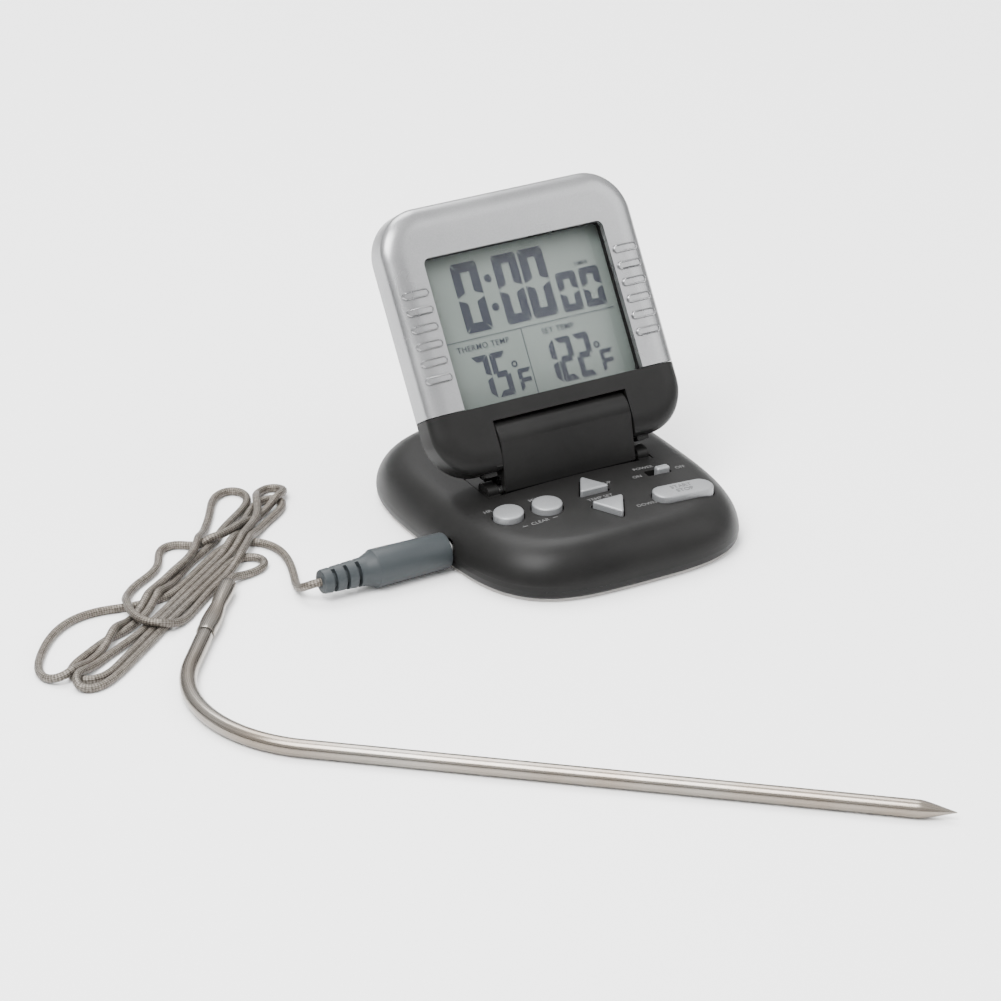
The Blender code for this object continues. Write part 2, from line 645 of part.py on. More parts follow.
def make_hinge_bracket():
    low = RECESS_FLOOR + GAP
    outer = bracket_half_width()
    builder = bmesh.new()
    block(builder, (-outer, CREASE_Y + GAP, low), (outer, RECESS_REAR_Y - GAP, low + BRACKET_PLATE))
    bracket = add_object("hinge_bracket", builder, DARK, base_frame)
    ears = bmesh.new()
    for side in (-1, 1):
        arc = [(EAR_RADIUS * math.cos(a), LOWER_PIN_Z + EAR_RADIUS * math.sin(a))
               for a in (math.pi * i / 10 for i in range(11))]
        outline = [(y + LOWER_PIN_Y, z) for y, z in arc]
        outline += [(LOWER_PIN_Y - EAR_RADIUS, low + 0.3), (LOWER_PIN_Y + EAR_RADIUS, low + 0.3)]
        inner_x = side * (outer - EAR_THICKNESS)
        prism(ears, outline, min(inner_x, side * outer), max(inner_x, side * outer), "X")
    boolean(bracket, "UNION", add_object("bracket_ears", ears, DARK, base_frame))
    tool = bmesh.new()
    radius = PIN_RADIUS + GAP
    turned(tool, [(radius, -outer - 2.0), (radius, outer + 2.0)], axis="X",
           center=(0.0, LOWER_PIN_Y, LOWER_PIN_Z), sides=16)
    boolean(bracket, "DIFFERENCE", add_object("bracket_bore", tool, DARK, base_frame))


def link_bores(builder):
    radius = PIN_RADIUS + GAP
    for y, z in ((0.0, 0.0), (LINK_SETBACK, LINK_RISE)):
        turned(builder, [(radius, -LINK_HALF_WIDTH - 2.0), (radius, LINK_HALF_WIDTH + 2.0)],
               axis="X", center=(0.0, y, z), sides=16)


def make_link_front():
    """Front plate with the upper barrel; the lower barrel joins its foot."""
    face = -LOWER_PIN_TO_FACE
    barrel = [(LINK_SETBACK + UPPER_BARREL * math.cos(a), LINK_RISE + UPPER_BARREL * math.sin(a))
              for a in (math.radians(-50 + 230 * i / 20) for i in range(21))]
    inner = face + LINK_WALL
    outline = barrel + [(face, 0.6), (face + 0.5, 0.2), (inner, 0.2), (inner, LINK_RISE - 3.4)]
    builder = bmesh.new()
    prism(builder, outline, -LINK_HALF_WIDTH, LINK_HALF_WIDTH, "X")
    front = add_object("hinge_link", builder, BLACK, link_frame)
    foot = bmesh.new()
    turned(foot, [(LOWER_BARREL, -LINK_HALF_WIDTH + 0.5), (LOWER_BARREL, LINK_HALF_WIDTH - 0.5)],
           axis="X", sides=20)
    boolean(front, "UNION", add_object("link_foot", foot, BLACK, link_frame))
    tool = bmesh.new()
    link_bores(tool)
    boolean(front, "DIFFERENCE", add_object("link_front_bores", tool, BLACK, link_frame))


def make_link_rear_cover():
    """Curved plate that closes the back of the link between its two barrels."""
    lower = LOWER_BARREL + 0.35
    upper = LINK_RISE - UPPER_BARREL * math.sin(math.radians(50)) - 0.35
    inner = -LOWER_PIN_TO_FACE + LINK_WALL + GAP
    outline = [(inner, lower), (3.2, lower), (3.9, (lower + upper) / 2), (3.6, upper), (inner, upper)]
    builder = bmesh.new()
    prism(builder, outline, -LINK_HALF_WIDTH + 0.3, LINK_HALF_WIDTH - 0.3, "X")
    add_object("link_rear_cover", builder, BLACK, link_frame)


def make_pin(name, half_length, parent, location):
    builder = bmesh.new()
    turned(builder, [(PIN_RADIUS - 0.3, -half_length), (PIN_RADIUS, -half_length + 0.3),
                     (PIN_RADIUS, half_length - 0.3), (PIN_RADIUS - 0.3, half_length)],
           axis="X", sides=16)
    add_object(name, builder, STEEL, parent, location=location)


def make_washer(name, side, parent, location, inner_x, thickness=0.6):
    radius = PIN_RADIUS + GAP
    start = side * inner_x
    end = side * (inner_x + thickness)
    builder = bmesh.new()
    turned(builder, [(2.3, min(start, end)), (2.3, max(start, end))], axis="X", sides=20)
    washer = add_object(name, builder, BRASS, parent, location=location)
    tool = bmesh.new()
    turned(tool, [(radius, -40.0), (radius, 40.0)], axis="X", sides=16)
    boolean(washer, "DIFFERENCE", add_object(name + "_bore", tool, DARK, parent, location=location))


# ---- head ---------------------------------------------------------------------------
def upper_pin_place():
    lean = math.radians(LINK_LEAN)
    return (0.0,
            LOWER_PIN_Y + LINK_RISE * math.sin(lean) + LINK_SETBACK * math.cos(lean),
            LOWER_PIN_Z + LINK_RISE * math.cos(lean) - LINK_SETBACK * math.sin(lean))


# Head frame: X right, Y into the head from the upper pin, Z up the face.
head_frame = add_empty("head_frame", upper_pin_place(), (-math.radians(HEAD_TILT), 0.0, 0.0))
FACE = -PIN_BEHIND_FACE
BOTTOM = -PIN_ABOVE_BOTTOM
HEAD_MIDDLE = BOTTOM + HEAD_HEIGHT / 2
HEAD_SCREWS = {
    "top_left": (-26.0, BOTTOM + HEAD_HEIGHT - 8.0),
    "top_right": (26.0, BOTTOM + HEAD_HEIGHT - 8.0),
    "bottom_left": (-26.5, BOTTOM + 9.5),
    "bottom_right": (26.5, BOTTOM + 9.5),
}


def head_ring(inset, depth):
    """Ring of the head's outline at a depth behind the face."""
    corner = max(HEAD_CORNER - inset, 0.5)
    outline = rectangle(HEAD_WIDTH / 2 - inset, HEAD_HEIGHT / 2 - inset, corner, segments=32)
    return [(x, FACE + depth, HEAD_MIDDLE + z) for x, z in outline]


def front_cup(builder):
    """Front housing as one cup: rounded edge, face, side walls and a hollow back."""
    outer = [head_ring(HEAD_EDGE * (1 - math.cos(a)), HEAD_EDGE * (1 - math.sin(a)))
             for a in (math.pi / 2 * (4 - i) / 4 for i in range(5))]
    inner = [head_ring(HEAD_WALL, FRONT_DEPTH), head_ring(HEAD_WALL, HEAD_EDGE + 0.4),
             head_ring(HEAD_EDGE + 0.8, HEAD_WALL)]
    loft(builder, outer + [head_ring(0.0, FRONT_DEPTH)] + inner)


def notch_tool(name):
    """Opening for the link: a slot from below, a round pocket and a taller slot at the back."""
    tool = bmesh.new()
    rear_top = UPPER_BARREL + GAP + 0.5
    front_top = NOTCH_HEIGHT - PIN_ABOVE_BOTTOM
    arc = [((UPPER_BARREL + 0.4) * math.cos(a), (UPPER_BARREL + 0.4) * math.sin(a))
           for a in (math.radians(90 + 40 * i / 5) for i in range(6))]
    arc = [(y, z) for y, z in arc if y > FACE - 0.01 or z > front_top]
    outline = [(FACE - 3.0, BOTTOM - 3.0), (BACK_DEPTH + FACE + 3.0, BOTTOM - 3.0),
               (BACK_DEPTH + FACE + 3.0, rear_top), (0.0, rear_top)]
    outline += [point for point in arc if point[1] > front_top] + [(FACE - 3.0, front_top)]
    prism(tool, outline, -NOTCH_HALF_WIDTH, NOTCH_HALF_WIDTH, "X")
    return add_object(name, tool, DARK, head_frame)


def make_bezel():
    builder = bmesh.new()
    front_cup(builder)
    bezel = add_object("head_bezel", builder, SILVER, head_frame)
    tool = bmesh.new()
    split = BOTTOM + CHIN_HEIGHT + 0.1
    block(tool, (-HEAD_WIDTH, FACE - 5.0, BOTTOM - 5.0), (HEAD_WIDTH, FACE + 20.0, split))
    lower = add_object("bezel_trim", tool, DARK, head_frame)
    tool = bmesh.new()
    middle = (split - 2.0 + BOTTOM + WINDOW_TOP) / 2
    prism(tool, rectangle(WINDOW_WIDTH / 2, BOTTOM + WINDOW_TOP - middle, WINDOW_CORNER,
                          (0.0, middle), 16), FACE - 3.0, FACE + 4.0, "Y")
    opening = add_object("bezel_opening", tool, DARK, head_frame)
    boolean(bezel, "DIFFERENCE", lower, opening)
    ribs = bmesh.new()
    for side in (-1, 1):
        for i in range(RIB_COUNT):
            z = BOTTOM + RIB_FIRST + RIB_PITCH * i
            x = side * (HEAD_WIDTH / 2 - RIB_INSET)
            turned(ribs, [(0.35, -0.3), (0.75, -0.2), (0.75, 2.0)], axis="Y",
                   center=(x, FACE, z), sides=12)
    bosses, bores = front_bosses("bezel", [HEAD_SCREWS["top_left"], HEAD_SCREWS["top_right"]])
    boolean(bezel, "UNION", add_object("bezel_ribs", ribs, SILVER, head_frame), bosses)
    boolean(bezel, "DIFFERENCE", bores)


def front_bosses(name, places):
    """Screw bosses inside the front housing, and the bores in them."""
    bosses, bores = bmesh.new(), bmesh.new()
    for x, z in places:
        turned(bosses, [(2.3, FACE + 1.0), (2.3, FACE + FRONT_DEPTH - GAP)], axis="Y",
               center=(x, 0.0, z), sides=16)
        turned(bores, [(SCREW_SHAFT + GAP, FACE + 2.6), (SCREW_SHAFT + GAP, FACE + FRONT_DEPTH + 1.0)],
               axis="Y", center=(x, 0.0, z), sides=16)
    return (add_object(name + "_bosses", bosses, BLACK, head_frame),
            add_object(name + "_bores", bores, BLACK, head_frame))


def pin_holes(name):
    tool = bmesh.new()
    radius = PIN_RADIUS + GAP
    reach = NOTCH_HALF_WIDTH + 5.0
    turned(tool, [(radius, -reach), (radius, reach)], axis="X", sides=16)
    return add_object(name, tool, DARK, head_frame)


def make_chin():
    builder = bmesh.new()
    front_cup(builder)
    chin = add_object("head_chin", builder, BLACK, head_frame)
    tool = bmesh.new()
    split = BOTTOM + CHIN_HEIGHT - 0.1
    block(tool, (-HEAD_WIDTH, FACE - 5.0, split), (HEAD_WIDTH, FACE + 20.0, BOTTOM + HEAD_HEIGHT + 5.0))
    upper = add_object("chin_trim", tool, DARK, head_frame)
    walls = bmesh.new()
    for side in (-1, 1):
        near = side * (NOTCH_HALF_WIDTH - 0.5)
        far = side * (NOTCH_HALF_WIDTH + 1.5)
        block(walls, (min(near, far), FACE + 1.0, BOTTOM + 0.8),
              (max(near, far), FACE + FRONT_DEPTH, BOTTOM + CHIN_HEIGHT - 1.0))
    lintel = bmesh.new()
    block(lintel, (-NOTCH_HALF_WIDTH - 1.0, FACE + 1.0, BOTTOM + NOTCH_HEIGHT + 1.4),
          (NOTCH_HALF_WIDTH + 1.0, FACE + LENS_DEPTH, BOTTOM + CHIN_HEIGHT - 1.0))
    lugs = bmesh.new()
    for side in (-1, 1):
        middle = side * 20.2
        block(lugs, (middle - 1.5, FACE + 2.8, BOTTOM - 0.9), (middle + 1.5, FACE + 5.0, BOTTOM + 0.8))
    bosses, bores = front_bosses("chin", [HEAD_SCREWS["bottom_left"], HEAD_SCREWS["bottom_right"]])
    boolean(chin, "DIFFERENCE", upper)
    boolean(chin, "UNION", add_object("chin_walls", walls, BLACK, head_frame),
            add_object("chin_lintel", lintel, BLACK, head_frame),
            add_object("chin_lugs", lugs, BLACK, head_frame), bosses)
    boolean(chin, "DIFFERENCE", notch_tool("chin_notch"), pin_holes("chin_bore"), bores)


def make_back_shell():
    """Rear housing: a shallow cup that narrows towards a flat back."""
    joint = FRONT_DEPTH + 0.25
    outer = [head_ring(3.4, BACK_DEPTH), head_ring(2.0, BACK_DEPTH - 0.5),
             head_ring(0.9, BACK_DEPTH - 1.6), head_ring(0.45, joint)]
    inner = [head_ring(0.45 + HEAD_WALL, joint), head_ring(0.9 + HEAD_WALL, BACK_DEPTH - HEAD_WALL)]
    builder = bmesh.new()
    loft(builder, outer + inner)
    shell = add_object("head_back_shell", builder, BLACK, head_frame)
    bosses = bmesh.new()
    for x, z in HEAD_SCREWS.values():
        turned(bosses, [(2.4, FACE + joint + 0.3), (2.4, FACE + BACK_DEPTH - 0.8)], axis="Y",
               center=(x, 0.0, z), sides=16)
    boolean(shell, "UNION", add_object("back_bosses", bosses, BLACK, head_frame))
    tool = bmesh.new()
    for x, z in HEAD_SCREWS.values():
        back = FACE + BACK_DEPTH
        turned(tool, [(SCREW_SHAFT + GAP, FACE + joint - 1.0), (SCREW_SHAFT + GAP, back - 1.2),
                      (SCREW_HEAD + GAP, back - 1.2), (SCREW_HEAD + GAP, back + 1.0)],
               axis="Y", center=(x, 0.0, z), sides=16)
    boolean(shell, "DIFFERENCE", notch_tool("back_notch"),
            add_object("back_screw_holes", tool, DARK, head_frame))


def make_head_screws():
    back = FACE + BACK_DEPTH - 1.2 + 0.1
    for place, (x, z) in HEAD_SCREWS.items():
        builder = bmesh.new()
        turned(builder, [(0.3, FACE + 3.2), (SCREW_SHAFT, FACE + 4.0), (SCREW_SHAFT, back),
                         (SCREW_HEAD, back), (SCREW_HEAD, back + 0.6), (SCREW_HEAD - 0.3, back + 0.8)],
               axis="Y", center=(x, 0.0, z), sides=12)
        add_object("head_screw_" + place, builder, STEEL, head_frame)


def make_display():
    window_low = BOTTOM + CHIN_HEIGHT
    window_high = BOTTOM + WINDOW_TOP
    middle = (window_low + window_high) / 2
    half_x = WINDOW_WIDTH / 2 + 0.8
    half_z = (window_high - window_low) / 2 + 0.8
    lens_front = FACE + LENS_DEPTH
    lens_back = lens_front + LENS_THICKNESS
    builder = bmesh.new()
    prism(builder, rectangle(half_x, half_z, 1.0, (0.0, middle), 12), lens_front, lens_back, "Y")
    add_object("display_lens", builder, LENS_CLEAR, head_frame)

    lcd_front = lens_back + GAP
    builder = bmesh.new()
    block(builder, (-half_x, lcd_front, middle - half_z), (half_x, lcd_front + LCD_THICKNESS, middle + half_z))
    add_object("lcd_panel", builder, LCD_GREY, head_frame)

    # window frame: the dark wall between the bezel face and the lens
    builder = bmesh.new()
    prism(builder, rectangle(WINDOW_WIDTH / 2 + 1.6, half_z + 0.8, 1.2, (0.0, middle), 12),
          FACE + HEAD_WALL + GAP, lens_front - GAP, "Y")
    surround = add_object("window_frame", builder, DARK, head_frame)
    tool = bmesh.new()
    prism(tool, rectangle(WINDOW_WIDTH / 2 - 0.1, half_z - 0.9, 1.2, (0.0, middle), 12),
          FACE - 2.0, FACE + 10.0, "Y")
    opening = add_object("frame_opening", tool, DARK, head_frame)
    tool = bmesh.new()
    block(tool, (-40.0, FACE - 2.0, BOTTOM), (40.0, FACE + 10.0, window_low + 0.3))
    boolean(surround, "DIFFERENCE", opening, add_object("frame_trim", tool, DARK, head_frame))

    strip_back = lcd_front + LCD_THICKNESS + GAP
    builder = bmesh.new()
    block(builder, (-21.0, strip_back, middle - half_z + 0.4),
          (21.0, strip_back + 0.6, middle - half_z + 2.4))
    add_object("contact_strip", builder, RUBBER, head_frame)
    board_front = strip_back + 0.6 + GAP
    builder = bmesh.new()
    block(builder, (-22.5, board_front, middle - half_z), (22.5, board_front + 0.8, middle + half_z - 3.0))
    add_object("head_board", builder, BOARD_GREEN, head_frame)


# ---- lead and probe -----------------------------------------------------------------
lead_frame = add_empty("lead_frame", (PLUG_FACE_X, JACK_Y, JACK_Z))


def make_plug():
    far = -GRIP_LENGTH
    shoulder = far - SHOULDER_LENGTH
    end = shoulder - RELIEF_LENGTH
    builder = bmesh.new()
    turned(builder, [(RELIEF_RADIUS_FAR - 0.4, end), (RELIEF_RADIUS_FAR, end + 0.4),
                     (RELIEF_RADIUS_NEAR, shoulder), (GRIP_RADIUS_FAR - 0.3, far - 0.2),
                     (GRIP_RADIUS_FAR, far + 0.4), (GRIP_RADIUS_NEAR, -0.4),
                     (GRIP_RADIUS_NEAR - 0.4, 0.0)], axis="X", sides=28)
    grip = add_object("plug_grip", builder, PLUG_GREY, lead_frame)
    tool = bmesh.new()
    for i in range(RELIEF_SLOTS):
        middle = shoulder - 2.0 - RELIEF_SLOT_PITCH * i
        for side in (-1, 1):
            angles = [math.radians(12 + 156 * step / 10) for step in range(11)]
            outline = [(5.0 * math.cos(a), side * 5.0 * math.sin(a)) for a in angles]
            outline += [(RELIEF_CORE * math.cos(a), side * RELIEF_CORE * math.sin(a))
                        for a in reversed(angles)]
            prism(tool, outline, middle - RELIEF_SLOT_WIDTH / 2, middle + RELIEF_SLOT_WIDTH / 2, "X")
    bmesh.ops.recalc_face_normals(tool, faces=tool.faces)
    boolean(grip, "DIFFERENCE", add_object("relief_slots", tool, PLUG_GREY, lead_frame))

    builder = bmesh.new()
    pin = JACK_PIN_RADIUS
    end = JACK_PIN_LENGTH
    turned(builder, [(PLUG_COLLAR, GAP), (PLUG_COLLAR, 1.3), (pin, 1.3), (pin, end - 3.4),
                     (pin - 0.4, end - 2.8), (pin - 0.4, end - 2.4), (pin, end - 1.8),
                     (pin - 0.15, end - 1.0), (0.3, end)], axis="X", sides=20)
    add_object("plug_pin", builder, STEEL, lead_frame)


def smooth_path(points, steps):
    """Points along a smooth curve through the given ones."""
    result = []
    for i in range(len(points) - 1):
        before = Vector(points[max(i - 1, 0)])
        start, end = Vector(points[i]), Vector(points[i + 1])
        after = Vector(points[min(i + 2, len(points) - 1)])
        for step in range(steps):
            t = step / steps
            result.append(0.5 * ((2 * start) + (end - before) * t
                                 + (2 * before - 5 * start + 4 * end - after) * t * t
                                 + (3 * start - before - 3 * end + after) * t ** 3))
    result.append(Vector(points[-1]))
    return result


def make_tube(name, points, radius, material, resolution=2):
    """Tube along points given in mm, in the frame of the whole object."""
    curve = bpy.data.curves.new(name, "CURVE")
    curve.dimensions = "3D"
    curve.bevel_depth = mm(radius)
    curve.bevel_resolution = resolution
    curve.use_fill_caps = True
    spline = curve.splines.new("POLY")
    spline.points.add(len(points) - 1)
    origin = Vector((PLUG_FACE_X, JACK_Y, JACK_Z))
    for target, point in zip(spline.points, points):
        target.co = (*(mm(*(Vector(point) - origin))), 1.0)
    curve.materials.append(material)
    tube = bpy.data.objects.new(name, curve)
    bpy.context.scene.collection.objects.link(tube)
    tube.parent = lead_frame
    return tube


def make_cord():
    make_tube("cord_lead", smooth_path(LEAD_ROUTE, 4), CORD_RADIUS, BRAID)
    origin = Vector((PLUG_FACE_X, JACK_Y, JACK_Z))
    builder = bmesh.new()
    outline = [(x - origin.x, y - origin.y) for x, y in HANK_OUTLINE]
    prism(builder, outline, HANK_LOW - origin.z, HANK_HIGH - origin.z)
    add_object("cord_hank", builder, BRAID, lead_frame)
    start = PROBE_END - SLEEVE_SLOPE * GAP
    route = [start, start - SLEEVE_SLOPE * 1.6, start - SLEEVE_SLOPE * 3.4]
    make_tube("cord_tail", route, CORD_RADIUS, BRAID)


def probe_path():
    """Centre line of the bent tube, from the sleeve's inner end to the start of the point."""
    height = Vector((0.0, 0.0, PROBE_RADIUS + 0.05))
    into = SLEEVE_SLOPE.normalized()
    out = STEM_SLOPE.normalized()
    turn = into.angle(out)
    start = PROBE_END + into * (SLEEVE_LENGTH + GAP)
    start.z = 0.0
    bend_start = start + into * PROBE_STRAIGHT
    side = (out - into * out.dot(into)).normalized()
    center = bend_start + side * PROBE_BEND
    points = [start, start + into * 4.5]
    steps = 14
    for step in range(steps + 1):
        angle = turn * step / steps
        points.append(center - side * PROBE_BEND * math.cos(angle) + into * PROBE_BEND * math.sin(angle))
    bend_end = points[-1]
    points += [bend_end + out * (STEM_LENGTH - PROBE_TIP) * f for f in (0.25, 0.5, 0.75, 1.0)]
    return [point + height for point in points], out


def make_probe():
    path, out = probe_path()
    make_tube("probe_stem", path, PROBE_RADIUS, STEEL, resolution=4)
    origin = Vector((PLUG_FACE_X, JACK_Y, JACK_Z))
    turn = math.atan2(out.y, out.x)
    start = path[-1] + out * GAP - origin
    builder = bmesh.new()
    turned(builder, [(PROBE_RADIUS - 0.15, 0.0), (PROBE_RADIUS - 0.05, 0.4), (1.0, 4.6), (0.15, PROBE_TIP)],
           axis="X", sides=20)
    add_object("probe_tip", builder, STEEL, lead_frame, location=start, rotation=(0.0, 0.0, turn))

    into = SLEEVE_SLOPE.normalized()
    across = Vector((-into.y, into.x, 0.0))
    up = Vector((0.0, 0.0, 1.0))
    rings = []
    profile = ((0.0, 1.95, 1.75), (0.4, 2.1, 1.9), (6.0, 2.0, 1.9), (10.0, 1.75, 1.6),
               (14.0, 2.1, 1.5), (18.0, 2.3, 1.8), (SLEEVE_LENGTH - 0.4, 2.15, 2.0),
               (SLEEVE_LENGTH, 1.95, 1.85))
    for along, half_wide, half_high in profile:
        middle = PROBE_END + into * along - origin
        rings.append([middle + across * half_wide * math.cos(a) + up * half_high * math.sin(a)
                      for a in (2 * math.pi * i / SIDES for i in range(SIDES))])
    builder = bmesh.new()
    loft(builder, rings)
    add_object("probe_sleeve", builder, STEEL, lead_frame)


# ---- assembly -----------------------------------------------------------------------
make_base_pad()
make_bottom_shell()
make_top_cover()
for key_name, (key_core, key_radius) in key_cores().items():
    make_key(key_name, key_core, key_radius)
make_base_boards()
make_switch()
make_jack()
make_battery_parts()
make_base_screws()
make_hinge_bracket()
make_link_front()
make_link_rear_cover()
make_pin("lower_hinge_pin", bracket_half_width() + 0.8, base_frame, (0.0, LOWER_PIN_Y, LOWER_PIN_Z))
make_pin("upper_hinge_pin", NOTCH_HALF_WIDTH + 4.0, head_frame, (0.0, 0.0, 0.0))
make_washer("friction_washer_left", -1, head_frame, (0.0, 0.0, 0.0), NOTCH_HALF_WIDTH + 1.8)
make_washer("friction_washer_right", 1, head_frame, (0.0, 0.0, 0.0), NOTCH_HALF_WIDTH + 1.8)
make_bezel()
make_chin()
make_back_shell()
make_head_screws()
make_display()
make_plug()
make_cord()
make_probe()
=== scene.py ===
# Digital probe thermometer: base with keys, folding display head, probe on a braided lead.
import json
import math

import bmesh
import bpy
import numpy as np
from mathutils import Matrix, Vector


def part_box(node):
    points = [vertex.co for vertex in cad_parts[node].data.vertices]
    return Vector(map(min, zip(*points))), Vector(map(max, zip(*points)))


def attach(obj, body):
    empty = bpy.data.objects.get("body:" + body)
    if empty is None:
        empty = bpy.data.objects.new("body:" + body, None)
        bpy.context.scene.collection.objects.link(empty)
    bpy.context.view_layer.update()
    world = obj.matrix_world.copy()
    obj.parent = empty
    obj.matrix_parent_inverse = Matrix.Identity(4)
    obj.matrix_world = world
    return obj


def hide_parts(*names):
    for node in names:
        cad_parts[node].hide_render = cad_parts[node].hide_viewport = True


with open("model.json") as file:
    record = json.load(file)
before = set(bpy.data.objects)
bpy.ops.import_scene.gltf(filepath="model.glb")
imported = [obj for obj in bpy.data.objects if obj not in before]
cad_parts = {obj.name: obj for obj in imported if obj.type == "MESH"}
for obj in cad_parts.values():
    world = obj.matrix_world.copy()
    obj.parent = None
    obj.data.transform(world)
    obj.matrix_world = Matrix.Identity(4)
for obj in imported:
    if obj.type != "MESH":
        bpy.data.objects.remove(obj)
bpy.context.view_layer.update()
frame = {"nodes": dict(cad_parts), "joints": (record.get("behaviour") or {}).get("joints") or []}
mm = 0.001
joints = {joint["name"]: joint for joint in frame["joints"]}
nodes = frame["nodes"]


def boxMm(node):
    low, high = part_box(node)
    return low / mm, high / mm


def middleMm(node):
    low, high = boxMm(node)
    return (low.x + high.x) / 2, (low.y + high.y) / 2


# Shader helpers: Maths wraps a socket so that sums on it add Math nodes.
class Maths:
    def __init__(self, finish, socket):
        self.finish = finish
        self.socket = socket

    def sum(self, operation, *values):
        return self.finish.add("ShaderNodeMath", {"operation": operation}, dict(enumerate(values)))

    def __add__(self, other):
        return self.sum("ADD", self, other)

    def __radd__(self, other):
        return self.sum("ADD", other, self)

    def __sub__(self, other):
        return self.sum("SUBTRACT", self, other)

    def __rsub__(self, other):
        return self.sum("SUBTRACT", other, self)

    def __mul__(self, other):
        return self.sum("MULTIPLY", self, other)

    def __rmul__(self, other):
        return self.sum("MULTIPLY", other, self)

    def sine(self):
        return self.sum("SINE", self)


class Finish:
    def __init__(self, name, **sockets):
        self.material = bpy.data.materials.new(name)
        self.material.use_nodes = True
        self.tree = self.material.node_tree
        self.shader = self.tree.nodes["Principled BSDF"]
        self.set(**sockets)

    def set(self, **sockets):
        for name, value in sockets.items():
            self.feed(self.shader.inputs[name.replace("_", " ")], value)

    def feed(self, target, value):
        if isinstance(value, Maths):
            self.tree.links.new(value.socket, target)
        elif isinstance(value, bpy.types.NodeSocket):
            self.tree.links.new(value, target)
        else:
            if hasattr(value, "__len__") and len(value) == 3 and len(target.default_value) == 4:
                value = (*value, 1.0)
            target.default_value = value

    def add(self, kind, settings=None, sockets=None, output=0):
        node = self.tree.nodes.new(kind)
        for name, value in (settings or {}).items():
            if name == "stops":
                ramp = node.color_ramp
                while len(ramp.elements) < len(value):
                    ramp.elements.new(0.5)
                for element, (place, shade) in zip(ramp.elements, value):
                    element.position = place
                    element.color = (*shade, 1.0)
            else:
                setattr(node, name, value)
        for name, value in (sockets or {}).items():
            self.feed(node.inputs[name], value)
        return Maths(self, node.outputs[output])

    def place(self, scale=(1, 1, 1), kind="Object"):
        spot = self.add("ShaderNodeTexCoord", output=kind)
        return self.add("ShaderNodeMapping", {}, {"Vector": spot, "Scale": scale})

    def noise(self, scale, detail=3.0, roughness=0.55, stretch=(1, 1, 1), kind="Object"):
        return self.add("ShaderNodeTexNoise", {}, {"Vector": self.place(stretch, kind), "Scale": scale,
                                                  "Detail": detail, "Roughness": roughness})

    def spread(self, value, low, high, fromLow=0.3, fromHigh=0.7):
        return self.add("ShaderNodeMapRange", {}, {"Value": value, "From Min": fromLow, "From Max": fromHigh,
                                                  "To Min": low, "To Max": high})

    def ramp(self, value, stops):
        return self.add("ShaderNodeValToRGB", {"stops": stops}, {"Fac": value})

    def blend(self, factor, first, second, mode="MIX"):
        return self.add("ShaderNodeMix", {"data_type": "RGBA", "blend_type": mode},
                        {0: factor, 6: first, 7: second}, output=2)

    def bump(self, height, strength=0.2, distance=0.05):
        self.set(Normal=self.add("ShaderNodeBump", {}, {"Height": height, "Strength": strength,
                                                       "Distance": distance * mm}))


# Shell plastics: a fine spark grain, a little dust in it, and slow cloudiness in the sheen.
def mouldedFinish(name, shade, lighter, roughness, grainScale, grainStrength, **extra):
    finish = Finish(name, **extra)
    cloud = finish.noise(60.0, 4.0)
    grain = finish.noise(grainScale, 2.0, 0.6)
    tone = finish.spread(cloud, 0.0, 1.0) * 0.7 + finish.spread(grain, 0.0, 1.0) * 0.3
    finish.set(Base_Color=finish.ramp(tone, [(0.0, shade), (1.0, lighter)]),
               Roughness=finish.spread(cloud + grain, roughness - 0.05, roughness + 0.07, 0.7, 1.3))
    finish.bump(grain, grainStrength, 0.03)
    return finish.material


def paintedFinish(name, shade, lighter, roughness, metallic, flakeScale):
    finish = Finish(name, Metallic=metallic, Coat_Roughness=0.2)
    flakes = finish.add("ShaderNodeTexVoronoi", {}, {"Vector": finish.place(), "Scale": flakeScale},
                        output="Color")
    flake = finish.add("ShaderNodeSeparateColor", {}, {0: flakes})
    cloud = finish.noise(45.0, 3.0)
    tone = finish.spread(flake, 0.0, 1.0, 0.0, 1.0) * 0.55 + finish.spread(cloud, 0.0, 1.0) * 0.45
    finish.set(Base_Color=finish.ramp(tone, [(0.0, shade), (1.0, lighter)]),
               Roughness=finish.spread(cloud, roughness - 0.04, roughness + 0.05), Coat_Weight=0.15)
    finish.bump(flake, 0.05, 0.02)
    return finish.material


# Steel drawn along its own length: fine scratches run along V of its map.
def steelFinish(name, shade, lighter, roughness, kind="Object", stretch=(1, 1, 1), warm=None):
    finish = Finish(name, Metallic=1.0)
    scratches = finish.noise(900.0 if kind == "Object" else 60.0, 3.0, 0.6, stretch, kind)
    cloud = finish.noise(70.0, 4.0)
    tone = finish.spread(scratches, 0.0, 1.0) * 0.6 + finish.spread(cloud, 0.0, 1.0) * 0.4
    color = finish.ramp(tone, [(0.0, shade), (1.0, lighter)])
    if warm:
        tint = finish.spread(finish.noise(38.0, 2.0), 0.0, 0.75, 0.42, 0.68)
        color = finish.blend(tint, color, (*warm, 1.0), "MULTIPLY")
    finish.set(Base_Color=color, Roughness=finish.spread(scratches, roughness - 0.06, roughness + 0.08))
    finish.bump(scratches, 0.12, 0.02)
    return finish.material


